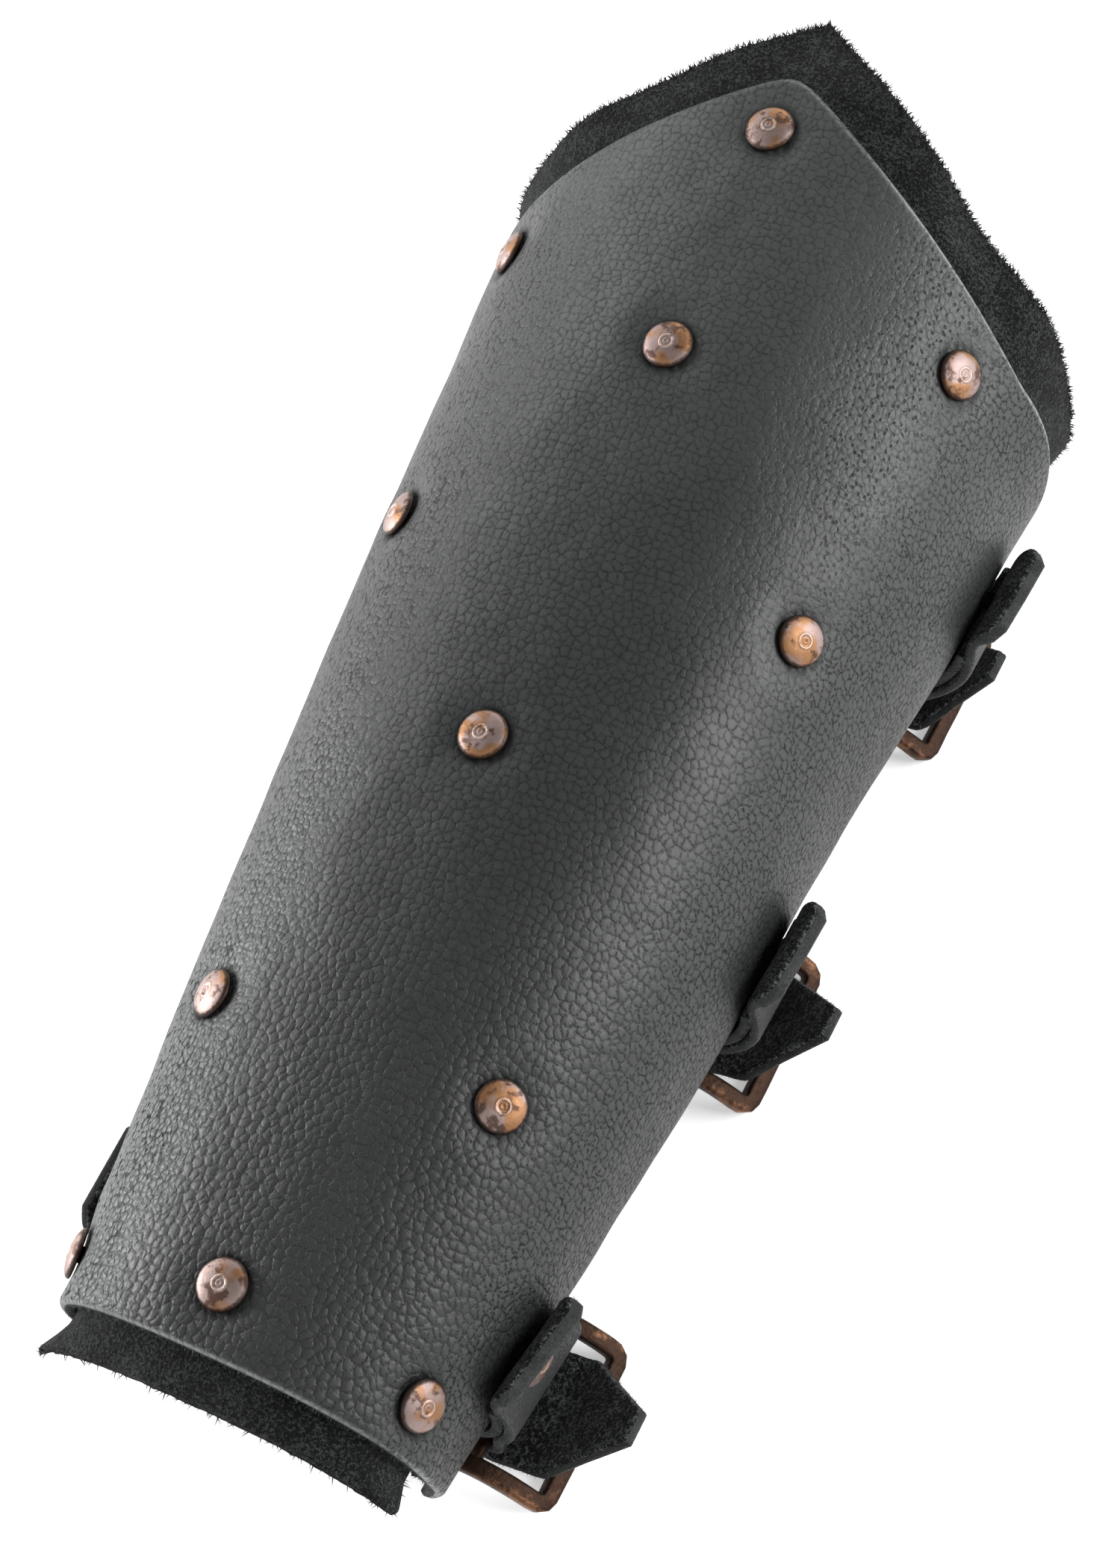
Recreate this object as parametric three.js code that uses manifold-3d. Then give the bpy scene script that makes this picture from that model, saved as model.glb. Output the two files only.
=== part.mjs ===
// A leather bracer (forearm guard): a thick grain-leather plate over a suede liner, set with
// domed rivets and closed under the arm by three straps in centre-bar buckles.
// It lies on its straps. +X is the buckle side, +Y points to the elbow, +Z is up; lengths in mm.
import * as THREE from "three";
import { mergeVertices } from "three/addons/utils/BufferGeometryUtils.js";
import Module from "manifold-3d";

const wasm = await Module();
wasm.setup();

// Arm form: the outer face of the plate, as a section that grows from wrist to elbow
const plateLength = 226.4; // wrist edge to the point at the elbow
const wristHalfWidth = 33.5;
const elbowHalfWidth = 55.5;
const midSwell = 1.3; // the sides bow out by this half way along
const wristHeight = 48;
const elbowHeight = 93.3;
const widestShare = 0.457; // height of the widest level, as a share of the section's height
const upperPower = 2.2; // superellipse powers: 2 is an ellipse, more is squarer
const wristLowerPower = 3.2;
const elbowLowerPower = 2.1;
const plateLift = 6; // underside of the plate above the table

// Plate: thick leather, cut to a point over the elbow
const plateThickness = 3;
const pointRise = 24.8; // the point stands this far past the side corners
const pointHalfWidth = 58; // measured round the surface
const pointRadius = 3;
const wristSag = 3.2; // the wrist edge runs back this much at the sides
const backGapWrist = 64; // opening under the arm, measured round the surface
const backGapElbow = 73;

// Liner: thinner suede that shows past the plate all round
const linerThickness = 1.8;
const linerWristMargin = 7;
const linerElbowMargin = 13;
const linerSideMargin = 3;
const linerElbowFlare = 6; // side corners bend outwards
const linerPointFlare = 1.2;
const linerWristFlare = 4;
const linerWristDip = 2.5; // the middle of the wrist edge drops away from the plate
const linerBendStart = 1; // past the plate's edge
const linerPointRadius = 0.2;

// Rivets
const headRadius = 4;
const headHeight = 1.9;
const shankRadius = 1.4;
const holeClearance = 0.4;
const burrRadius = 3;
const burrThickness = 0.8;
const rivetSides = 8;

// Straps, tabs and buckles
const stationStart = 26.2; // first buckle, from the wrist edge
const stationPitch = 76.5;
const strapWidth = 21;
const strapThickness = 2.2;
const strapTipFlat = 5.6;
const strapBevel = 17;
const strapClip = 3;
const tabWidth = 20;
const tabThickness = 2;
const tabClip = 2.6;
const buckleLine = 31; // centre bars, sideways from the middle of the arm
const centreBarHeight = 7.6;
const centreBarRadius = 1.2;
const frameReach = 13; // centre bar to either end bar
const frameHalfWidth = 13.6; // middle of the side bars
const frameCornerRadius = 4.2;
const frameBarWidth = 2.9;
const frameBarDepth = 2.5;
const frontBarHeight = 3.7;
const tongueRadius = 0.8;
const tongueWidth = 2.4;
const slotWidth = 4.4;
const holeLength = 7;
const holeWidth = 2.6;
const spareHoles = 2;
const spareHolePitch = 13;
const seatGap = 0.3; // between pieces that rest on each other
const layerGap = 0.4; // between the curved layers of leather
const weaveEase = 0.7; // extra room where a strap crosses a bar at a slant

// Buckle stations: top is the tab's free end, as a share of the arm's height there; the strap's
// tip stands tipReach past the end bar, leaning tipLean degrees up from the table
const stations = [
  { name: "wrist", top: 0.564, tipReach: 18.9, tipLean: 48 },
  { name: "middle", top: 0.482, tipReach: 18.2, tipLean: 50 },
  { name: "elbow", top: 0.429, tipReach: 16.8, tipLean: 56.5 },
];

// Rivets of the plate: along is a share of plateLength from the wrist edge,
// round is a share of the plate's half width round the surface, on both sides or at the middle
const rivetRows = [
  { name: "wrist", along: 0.0415, round: 0.555 },
  { name: "lower", along: 0.23, round: 0.345 },
  { name: "upper", along: 0.619, round: 0.398 },
  { name: "elbow", along: 0.855, round: 0.405 },
];
const crownRivets = [
  { name: "wrist", along: 0.045 },
  { name: "lower", along: 0.453 },
  { name: "upper", along: 0.769 },
  { name: "point", along: 0.954 },
];

// Shallow dents in the walls: place and reach along the arm as shares of plateLength,
// depth as a share of the half width at the elbow, side 1 is the buckle side
const dents = [
  { along: 0.58, reach: 0.13, side: 1, depth: 0.036 },
  { along: 0.86, reach: 0.1, side: 1, depth: 0.022 },
  { along: 0.5, reach: 0.22, side: -1, depth: -0.008 },
];

const mix = (a, b, t) => a + (b - a) * t;
const clamp = (v, lo, hi) => Math.min(hi, Math.max(lo, v));
const smooth = (t) => {
  const c = clamp(t, 0, 1);
  return c * c * (3 - 2 * c);
};
const signedPower = (v, power) => Math.sign(v) * Math.abs(v) ** power;

// Size of the section at a distance y from the wrist edge
function sectionAt(y) {
  const u = y / plateLength;
  const height = mix(wristHeight, elbowHeight, u);
  return {
    width: mix(wristHalfWidth, elbowHalfWidth, u) + 4 * u * (1 - u) * midSwell,
    above: height * (1 - widestShare),
    below: height * widestShare,
    lowerPower: mix(wristLowerPower, elbowLowerPower, clamp(u, 0, 1)),
  };
}

function dentDepth(turn, y) {
  let depth = 0;
  for (const dent of dents) {
    if (Math.sign(turn) !== dent.side) continue;
    const far = (y / plateLength - dent.along) / dent.reach;
    depth += dent.depth * Math.exp(-far * far);
  }
  return depth * elbowHalfWidth * Math.sin(turn) ** 2;
}

// Point of the section outline: turn 0 is the top of the arm, +-PI the underside
function outlinePoint(turn, y) {
  const { width, above, below, lowerPower } = sectionAt(y);
  const power = Math.cos(turn) >= 0 ? upperPower : lowerPower;
  const side = signedPower(Math.sin(turn), 2 / power);
  const rise = signedPower(Math.cos(turn), 2 / power);
  return new THREE.Vector3(
    (width - dentDepth(turn, y)) * side,
    y,
    plateLift + below + (rise >= 0 ? above : below) * rise,
  );
}

// Distances round one side of the section at y, kept for reuse
const turnSteps = 360;
const walked = new Map();
function walkRound(side, y) {
  const key = side + ":" + y.toFixed(3);
  if (!walked.has(key)) {
    const reach = [0];
    let last = outlinePoint(0, y);
    for (let i = 1; i <= turnSteps; i++) {
      const next = outlinePoint((side * Math.PI * i) / turnSteps, y);
      reach.push(reach[i - 1] + last.distanceTo(next));
      last = next;
    }
    walked.set(key, reach);
  }
  return walked.get(key);
}

function turnAt(s, y) {
  const side = s < 0 ? -1 : 1;
  const reach = walkRound(side, y);
  const want = clamp(Math.abs(s), 0, reach[turnSteps] - 1e-6);
  let low = 0;
  let high = turnSteps;
  while (high - low > 1) {
    const half = (low + high) >> 1;
    if (reach[half] <= want) low = half;
    else high = half;
  }
  const part = (want - reach[low]) / (reach[high] - reach[low]);
  return (side * Math.PI * (low + part)) / turnSteps;
}

// Point at distance s round the section and y along the arm, lifted off the outer face
function onArm(s, y, lift = 0) {
  const turn = turnAt(s, y);
  const point = outlinePoint(turn, y);
  const round = outlinePoint(turn + 0.01, y).sub(outlinePoint(turn - 0.01, y));
  const along = outlinePoint(turn, y + 0.5).sub(outlinePoint(turn, y - 0.5));
  const normal = round.cross(along).normalize();
  return { point: point.addScaledVector(normal, lift), normal };
}

// Half width of the plate round the surface, from the middle line to its side edge
const plateHalf = (y) =>
  walkRound(1, y)[turnSteps] - mix(backGapWrist, backGapElbow, y / plateLength) / 2;

// Cut edges of the leather at the two ends, at distance s from the middle line
function endEdge(s, radius) {
  const away = Math.sqrt(s * s + radius * radius) - radius;
  return plateLength - pointRise * (1 - (1 - Math.min(1, away / pointHalfWidth)) ** 1.5);
}
const wristEdge = (s) => wristSag * Math.min(1, Math.abs(s) / pointHalfWidth) ** 2;

// Place in a sheet of leather: u runs -1 to 1 round the arm, rowAt(s) is the row's line along it
function sheetPlace(u, rowAt, sideMargin) {
  let y = rowAt(0);
  let s = 0;
  for (let i = 0; i < 8; i++) {
    s = u * (plateHalf(y) + sideMargin);
    y = rowAt(s);
  }
  return { s, y };
}

// Closed solid between two grids of points that face each other
function shell(rows, columns, outer, inner) {
  const position = [];
  const index = [];
  const width = columns + 1;
  const layer = (rows + 1) * width;
  for (const place of [outer, inner])
    for (let i = 0; i <= rows; i++)
      for (let j = 0; j <= columns; j++) position.push(...place(i, j).toArray());
  const quad = (a, b, c, d) => index.push(a, b, c, a, c, d);
  const at = (side, i, j) => side * layer + i * width + j;
  for (let i = 0; i < rows; i++)
    for (let j = 0; j < columns; j++) {
      quad(at(0, i, j), at(0, i + 1, j), at(0, i + 1, j + 1), at(0, i, j + 1));
      quad(at(1, i, j), at(1, i, j + 1), at(1, i + 1, j + 1), at(1, i + 1, j));
    }
  for (let i = 0; i < rows; i++)
    for (const j of [0, columns]) {
      const rim = [at(0, i, j), at(1, i, j), at(1, i + 1, j), at(0, i + 1, j)];
      quad(...(j === 0 ? rim : rim.reverse()));
    }
  for (let j = 0; j < columns; j++)
    for (const i of [0, rows]) {
      const rim = [at(0, i, j), at(0, i, j + 1), at(1, i, j + 1), at(1, i, j)];
      quad(...(i === 0 ? rim : rim.reverse()));
    }
  const geometry = new THREE.BufferGeometry();
  geometry.setAttribute("position", new THREE.Float32BufferAttribute(position, 3));
  geometry.setIndex(index);
  return solid(geometry);
}

// A closed geometry as a solid that can be joined and cut, turned the right way out
function solid(geometry) {
  const bare = geometry.index ? geometry.clone() : geometry;
  for (const name of ["normal", "uv"]) bare.deleteAttribute(name);
  const merged = mergeVertices(bare, 1e-4);
  const make = (triVerts) => {
    const vertProperties = merged.attributes.position.array;
    return new wasm.Manifold(new wasm.Mesh({ numProp: 3, vertProperties, triVerts }));
  };
  const made = make(new Uint32Array(merged.index.array));
  return made.volume() > 0 ? made : make(new Uint32Array(merged.index.array).reverse());
}

function toGeometry(made) {
  const mesh = made.getMesh();
  const geometry = new THREE.BufferGeometry();
  geometry.setAttribute("position", new THREE.BufferAttribute(mesh.vertProperties, 3));
  geometry.setIndex(new THREE.BufferAttribute(mesh.triVerts, 1));
  geometry.computeVertexNormals();
  return geometry;
}

// A turned shape about the given axis, from a profile of [radius, height] pairs
function turned(profile, sides, origin, axis) {
  const points = profile.map(([r, h]) => new THREE.Vector2(r, h));
  const geometry = new THREE.LatheGeometry(points, sides);
  const up = new THREE.Vector3(0, 1, 0);
  geometry.applyQuaternion(new THREE.Quaternion().setFromUnitVectors(up, axis));
  geometry.translate(origin.x, origin.y, origin.z);
  return solid(geometry);
}

function makePlate() {
  const rows = 12;
  const columns = 26;
  const place = (lift) => (i, j) => {
    const rowAt = (s) => mix(wristEdge(s), endEdge(s, pointRadius), i / rows);
    const { s, y } = sheetPlace((2 * j) / columns - 1, rowAt, 0);
    return onArm(s, y, lift).point;
  };
  return shell(rows, columns, place(0), place(-plateThickness));
}

// How far the liner bends out of its plain place where it shows past the plate
function linerFlare(s, y) {
  const past = y - endEdge(s, pointRadius) - linerBendStart;
  const before = wristEdge(s) - y - linerBendStart;
  const aside = smooth(Math.abs(s) / pointHalfWidth);
  const elbow = mix(linerPointFlare, linerElbowFlare, aside);
  const wrist = mix(-linerWristDip, linerWristFlare, aside);
  return elbow * clamp(past / linerElbowMargin, 0, 1) + wrist * clamp(before / linerWristMargin, 0, 1);
}

const linerLift = -plateThickness - layerGap;
function makeLiner() {
  const columns = 26;
  const lowStart = (s) => wristEdge(s) - linerBendStart;
  const highStart = (s) => endEdge(s, pointRadius) + linerBendStart;
  const highEnd = (s) => endEdge(s, linerPointRadius) + linerElbowMargin;
  const rows = [];
  for (const t of [1, 0.5]) rows.push((s) => lowStart(s) - t * (linerWristMargin - linerBendStart));
  for (let i = 0; i <= 12; i++) rows.push((s) => mix(lowStart(s), highStart(s), i / 12));
  for (const t of [0.5, 1]) rows.push((s) => mix(highStart(s), highEnd(s), t));
  const place = (lift) => (i, j) => {
    const { s, y } = sheetPlace((2 * j) / columns - 1, rows[i], linerSideMargin);
    return onArm(s, y, lift + linerFlare(s, y)).point;
  };
  return shell(rows.length - 1, columns, place(linerLift), place(linerLift - linerThickness));
}

// A rivet: domed head outside, flat burr inside, through layers from lift down to the liner
const innerFace = -(linerLift - linerThickness);
function rivetAt(s, y, under) {
  const { point, normal } = onArm(s, y, under + seatGap);
  const grip = under + innerFace + 2 * seatGap + 0.2;
  const head = [
    [0, headHeight],
    [headRadius * 0.62, headHeight * 0.76],
    [headRadius * 0.95, headHeight * 0.28],
    [headRadius, 0],
  ];
  const stem = [
    [shankRadius, 0],
    [shankRadius, -grip],
    [burrRadius, -grip],
    [burrRadius, -grip - burrThickness],
    [0, -grip - burrThickness],
  ];
  const body = turned([...head, ...stem].reverse(), rivetSides, point, normal);
  const reach = grip + burrThickness;
  const bore = shankRadius + holeClearance;
  const hole = turned(
    [
      [0, -reach],
      [bore, -reach],
      [bore, reach],
      [0, reach],
    ],
    6,
    point,
    normal,
  );
  return { body, hole };
}

// A strip of leather whose middle line lies in sections across the arm.
// lineAt(y) gives the line's points there, halfAt(d, total) the half width at distance d
function strip(lineAt, halfAt, stops, middleY, thickness, columns) {
  const first = new THREE.CatmullRomCurve3(lineAt(middleY), false, "centripetal");
  const total = first.getLength();
  const places = stops(total);
  const face = (lift) => (i, j) => {
    const half = halfAt(places[i] * total, total);
    const y = middleY + half * ((2 * j) / columns - 1);
    const curve = new THREE.CatmullRomCurve3(lineAt(y), false, "centripetal");
    const point = curve.getPointAt(places[i]);
    const run = curve.getTangentAt(places[i]);
    const height = Math.max(point.z, thickness / 2);
    return new THREE.Vector3(point.x - run.z * lift, y, height + run.x * lift);
  };
  return shell(places.length - 1, columns, face(thickness / 2), face(-thickness / 2));
}

// Even stops along a strip, with extra ones where its ends are cut
function stopsWith(count, cuts) {
  return (total) => {
    const places = new Set(cuts(total));
    for (let i = 0; i <= count; i++) places.add(i / count);
    const sorted = [...places].sort((a, b) => a - b);
    return sorted.filter((p, i) => i === 0 || p - sorted[i - 1] > 0.004 || p === 1);
  };
}

// Where each buckle sits: bars given in the section across the arm
function buckleAt(station, order) {
  const y = stationStart + order * stationPitch;
  const centre = new THREE.Vector2(buckleLine, centreBarHeight);
  const endHeight = frameBarDepth / 2 + restEase;
  const reachTo = (z) => Math.sqrt(frameReach ** 2 - (centre.y - z) ** 2);
  const end = new THREE.Vector2(centre.x + reachTo(endHeight), endHeight);
  const front = new THREE.Vector2(centre.x - reachTo(frontBarHeight), frontBarHeight);
  const lean = THREE.MathUtils.degToRad(station.tipLean);
  const tip = new THREE.Vector2(Math.cos(lean), Math.sin(lean)).multiplyScalar(station.tipReach);
  const topHeight = plateLift + station.top * mix(wristHeight, elbowHeight, y / plateLength);
  return { name: station.name, y, centre, end, front, tip: tip.add(end), topHeight };
}

const tabRivetInset = 6.5; // rivet from the free end of a tab or a strap
const strapDrop = 2; // the strap's base end sits this much lower than the tab's free end
const restEase = 0.155; // the end bars and the straps touch the table together
const wallSteps = 7;
const foldEase = 0.2; // extra room for the fold round the centre bar
const outerLayer = tabThickness + seatGap;
const foldRadius = centreBarRadius + seatGap + foldEase + tabThickness / 2;

// Distance round the arm, on side +-1, at which the wall reaches height z going down
function roundAtHeight(side, z, y) {
  const reach = walkRound(side, y);
  for (let i = turnSteps / 4; i < turnSteps; i++)
    if (outlinePoint((side * Math.PI * i) / turnSteps, y).z < z) return reach[i];
  return reach[turnSteps];
}

// The tab is folded round the centre bar, its two layers riveted to the wall
function tabLine(buckle, y) {
  const top = roundAtHeight(1, buckle.topHeight, buckle.y);
  const low = plateHalf(buckle.y);
  const drop = low - top;
  const shift = plateHalf(y) - low;
  const wall = (d, lift) => onArm(top + d + shift, y, lift + layerGap + tabThickness / 2).point;
  const points = [];
  for (let i = 0; i <= wallSteps; i++) points.push(wall(mix(0.3, drop - 1.2, i / wallSteps), 0));
  const inner = points[points.length - 1];
  const toward = Math.atan2(inner.z - buckle.centre.y, inner.x - buckle.centre.x);
  for (let i = 0; i <= 6; i++) {
    const turn = toward + Math.PI / 2 + (Math.PI * i) / 6;
    points.push(
      new THREE.Vector3(
        buckle.centre.x + foldRadius * Math.cos(turn),
        y,
        buckle.centre.y + foldRadius * Math.sin(turn),
      ),
    );
  }
  for (let i = 0; i < wallSteps; i++)
    points.push(wall(mix(drop - 1.5, tabRivetInset - 3, i / (wallSteps - 1)), outerLayer));
  points.push(wall(0.8, outerLayer + 0.5));
  points.push(wall(-2.2, outerLayer + 1.5));
  return points;
}

function makeTab(buckle) {
  const half = tabWidth / 2;
  const halfAt = (d, total) => half - tabClip + Math.min(tabClip, (total - d) * 1.2);
  const foldAt = plateHalf(buckle.y) - roundAtHeight(1, buckle.topHeight, buckle.y);
  const stops = stopsWith(12, (total) => {
    const places = [1 - tabClip / 1.2 / total];
    for (let i = 0; i <= 12; i++) places.push((foldAt + 1.5 + i * 1.1) / total);
    return places;
  });
  const lineAt = (y) => tabLine(buckle, y);
  const tab = strip(lineAt, halfAt, stops, buckle.y, tabThickness, 2);
  const slot = boxSolid(
    [foldRadius * 2 + 4.6, slotWidth, foldRadius * 2 + 5],
    [buckle.centre.x - 1.2, buckle.y, buckle.centre.y - 0.2],
  );
  return tab.subtract(slot);
}

function boxSolid(size, centre) {
  const geometry = new THREE.BoxGeometry(...size);
  geometry.translate(...centre);
  return solid(geometry);
}

// The strap: riveted to the far wall, flat on the table under the arm, then woven through
// the buckle over the front bar, under the centre bar and over the end bar
function strapLine(buckle, y) {
  const half = strapThickness / 2;
  const top = roundAtHeight(-1, buckle.topHeight - strapDrop, buckle.y);
  const low = plateHalf(buckle.y);
  const drop = low - top;
  const shift = plateHalf(y) - low;
  const wall = (d, lift) => onArm(-(top + d + shift), y, lift + seatGap + half).point;
  const at = (x, z) => new THREE.Vector3(x, y, z);
  const frontTop = buckle.front.y + frameBarDepth / 2 + seatGap + half + weaveEase;
  const fold = foldRadius + tabThickness / 2 + seatGap + half;
  const endLift = frameBarWidth / 2 + seatGap + half + weaveEase;
  const rise = Math.atan2(buckle.tip.y - buckle.end.y - endLift, buckle.tip.x - buckle.end.x);
  const corner = wall(drop - 3, 1.2);
  const flatStart = corner.x + 15;
  const flatEnd = buckle.front.x - 12;
  return [
    wall(-1, 2.6),
    wall(1.8, 1),
    wall(tabRivetInset - 3, 0.1),
    wall(tabRivetInset + 1, 0),
    wall(tabRivetInset + 5.5, 0),
    wall(mix(tabRivetInset, drop, 0.6), 0.3),
    corner,
    at(corner.x + 4.5, mix(corner.z, half, 0.55)),
    at(corner.x + 9.5, mix(corner.z, half, 0.9)),
    at(flatStart, half),
    at(flatStart + 4, half),
    at(mix(flatStart + 4, flatEnd - 3, 0.5), half),
    at(flatEnd - 3, half),
    at(flatEnd, half),
    at(mix(flatEnd, buckle.front.x, 0.5), mix(half, frontTop, 0.42)),
    at(buckle.front.x - 1.5, frontTop - 0.2),
    at(buckle.front.x + 1.5, frontTop - 0.2),
    at(mix(buckle.front.x, buckle.centre.x, 0.45), mix(frontTop, buckle.centre.y - fold, 0.5)),
    at(buckle.centre.x, buckle.centre.y - fold - weaveEase),
    at(buckle.end.x - 5.5, buckle.centre.y - fold + 0.9),
    at(buckle.end.x - endLift * Math.sin(rise), buckle.end.y + endLift * Math.cos(rise)),
    at(mix(buckle.end.x, buckle.tip.x, 0.5) - 0.6, mix(buckle.end.y + endLift, buckle.tip.y, 0.5)),
    at(buckle.tip.x, buckle.tip.y),
  ];
}

function holeCut(buckle, x, lowZ, highZ) {
  return boxSolid([holeLength, holeWidth, highZ - lowZ], [x, buckle.y, (lowZ + highZ) / 2]);
}

function makeStrap(buckle) {
  const half = strapWidth / 2;
  const halfAt = (d, total) => {
    const tip = strapTipFlat / 2 + ((total - d) * (half - strapTipFlat / 2)) / strapBevel;
    return Math.min(half, tip, half - strapClip + d * 1.2);
  };
  const stops = stopsWith(24, (total) => [strapClip / 1.2 / total, 1 - strapBevel / total]);
  const lineAt = (y) => strapLine(buckle, y);
  let strap = strip(lineAt, halfAt, stops, buckle.y, strapThickness, 2);
  const crossing = mix(buckle.front.x, buckle.centre.x, 0.46);
  strap = strap.subtract(holeCut(buckle, crossing, -1, centreBarHeight + 1));
  for (let i = 1; i <= spareHoles; i++) {
    const x = buckle.front.x - i * spareHolePitch;
    const punch = turned(
      [
        [0, -4],
        [holeWidth / 2, -4],
        [holeWidth / 2, 8],
        [0, 8],
      ],
      8,
      new THREE.Vector3(x, buckle.y, 0),
      new THREE.Vector3(0, 0, 1),
    );
    strap = strap.subtract(punch);
  }
  return strap;
}

// A bar of rounded section swept along a line of points, closed on itself or capped
function bar(points, sides, halfWide, halfDeep, across, closed) {
  const count = points.length;
  const position = [];
  const index = [];
  points.forEach((point, i) => {
    const before = points[closed ? (i + count - 1) % count : Math.max(0, i - 1)];
    const after = points[closed ? (i + 1) % count : Math.min(count - 1, i + 1)];
    const run = after.clone().sub(before).normalize();
    const deep = across(i).clone().addScaledVector(run, -across(i).dot(run)).normalize();
    const wide = run.clone().cross(deep);
    for (let k = 0; k < sides; k++) {
      const turn = ((k + 0.5) * 2 * Math.PI) / sides;
      const vertex = point
        .clone()
        .addScaledVector(wide, (halfWide * Math.cos(turn)) / Math.cos(Math.PI / sides))
        .addScaledVector(deep, (halfDeep * Math.sin(turn)) / Math.cos(Math.PI / sides));
      position.push(...vertex.toArray());
    }
  });
  for (let i = 0; i < (closed ? count : count - 1); i++)
    for (let k = 0; k < sides; k++) {
      const a = i * sides + k;
      const b = i * sides + ((k + 1) % sides);
      const c = ((i + 1) % count) * sides + ((k + 1) % sides);
      const d = ((i + 1) % count) * sides + k;
      index.push(a, b, c, a, c, d);
    }
  if (!closed)
    for (let k = 1; k < sides - 1; k++) {
      const end = (count - 1) * sides;
      index.push(0, k + 1, k, end, end + k, end + k + 1);
    }
  const geometry = new THREE.BufferGeometry();
  geometry.setAttribute("position", new THREE.Float32BufferAttribute(position, 3));
  geometry.setIndex(index);
  return solid(geometry);
}

// The frame's middle surface: an arch through its front, centre and end bars
function archPoint(buckle, u) {
  const { front, centre, end } = buckle;
  const lean = end.clone().sub(front).multiplyScalar(u / 2);
  const sag = end.clone().add(front).addScaledVector(centre, -2).multiplyScalar((u * u) / 2);
  return centre.clone().add(lean).add(sag);
}

function makeFrame(buckle) {
  const points = [];
  const normals = [];
  const place = (along, across) => {
    const flat = archPoint(buckle, along / frameReach);
    const ahead = archPoint(buckle, along / frameReach + 0.01);
    const slope = ahead.sub(archPoint(buckle, along / frameReach - 0.01));
    points.push(new THREE.Vector3(flat.x, buckle.y + across, flat.y));
    normals.push(new THREE.Vector3(-slope.y, 0, slope.x).normalize());
  };
  const alongSide = frameReach - frameCornerRadius;
  const acrossSide = frameHalfWidth - frameCornerRadius;
  for (const [a, b] of [
    [1, 1],
    [-1, 1],
    [-1, -1],
    [1, -1],
  ]) {
    if (a * b > 0) place(a * frameReach, 0);
    else place(0, b * frameHalfWidth);
    for (let i = 0; i <= 3; i++) {
      const turn = Math.atan2(b, a) - Math.PI / 4 + (i * Math.PI) / 6;
      const reach = new THREE.Vector2(Math.cos(turn), Math.sin(turn)).multiplyScalar(frameCornerRadius);
      place(a * alongSide + reach.x, b * acrossSide + reach.y);
    }
  }
  const ring = bar(points, 8, frameBarWidth / 2, frameBarDepth / 2, (i) => normals[i], true);
  const centreBar = turned(
    [
      [0, -frameHalfWidth],
      [centreBarRadius, -frameHalfWidth],
      [centreBarRadius, frameHalfWidth],
      [0, frameHalfWidth],
    ],
    10,
    new THREE.Vector3(buckle.centre.x, buckle.y, buckle.centre.y),
    new THREE.Vector3(0, 1, 0),
  );
  return ring.add(centreBar);
}

// The tongue: a loop on the centre bar and a prong through the strap to under the front bar
function makeTongue(buckle) {
  const inner = centreBarRadius + seatGap;
  const outer = inner + 1.1;
  const loop = turned(
    [
      [inner, -tongueWidth / 2],
      [outer, -tongueWidth / 2],
      [outer, tongueWidth / 2],
      [inner, tongueWidth / 2],
      [inner, -tongueWidth / 2],
    ],
    10,
    new THREE.Vector3(buckle.centre.x, buckle.y, buckle.centre.y),
    new THREE.Vector3(0, 1, 0),
  );
  const { front, centre } = buckle;
  const low = front.y - frameBarDepth / 2 - seatGap - tongueRadius;
  const line = new THREE.CatmullRomCurve3([
    new THREE.Vector3(centre.x - inner - 0.5, buckle.y, centre.y - 0.6),
    new THREE.Vector3(mix(front.x, centre.x, 0.62), buckle.y, mix(low, centre.y, 0.62)),
    new THREE.Vector3(mix(front.x, centre.x, 0.32), buckle.y, mix(low, centre.y, 0.22)),
    new THREE.Vector3(front.x, buckle.y, low),
    new THREE.Vector3(front.x - 2.4, buckle.y, low),
  ]);
  const across = new THREE.Vector3(0, 1, 0);
  const prong = bar(line.getPoints(6), 6, tongueRadius, tongueRadius, () => across, false);
  return loop.add(prong);
}

// Finishes
const finish = (color, roughness, metalness) => new THREE.MeshStandardMaterial({ color, roughness, metalness });
const finishes = {
  grain: () => finish(0x454947, 0.5, 0),
  suede: () => finish(0x1c1e1e, 0.95, 0),
  strap: () => finish(0x2c2f2e, 0.6, 0),
  copper: () => finish(0xb07a52, 0.3, 1),
  antique: () => finish(0x6b4a38, 0.45, 1),
};

const bracer = new THREE.Group();
function addPiece(name, made, material) {
  const mesh = new THREE.Mesh(toGeometry(made), material());
  mesh.name = name;
  bracer.add(mesh);
}

const buckles = stations.map(buckleAt);
const rivets = [];
for (const row of rivetRows)
  for (const [side, word] of [
    [-1, "far"],
    [1, "near"],
  ]) {
    const y = row.along * plateLength;
    rivets.push({ name: `rivet_${row.name}_${word}`, ...rivetAt(side * row.round * plateHalf(y), y, 0) });
  }
for (const row of crownRivets)
  rivets.push({ name: `rivet_crown_${row.name}`, ...rivetAt(0, row.along * plateLength, 0) });

let plate = makePlate();
let liner = makeLiner();
for (const rivet of rivets) {
  plate = plate.subtract(rivet.hole);
  liner = liner.subtract(rivet.hole);
}

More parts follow.
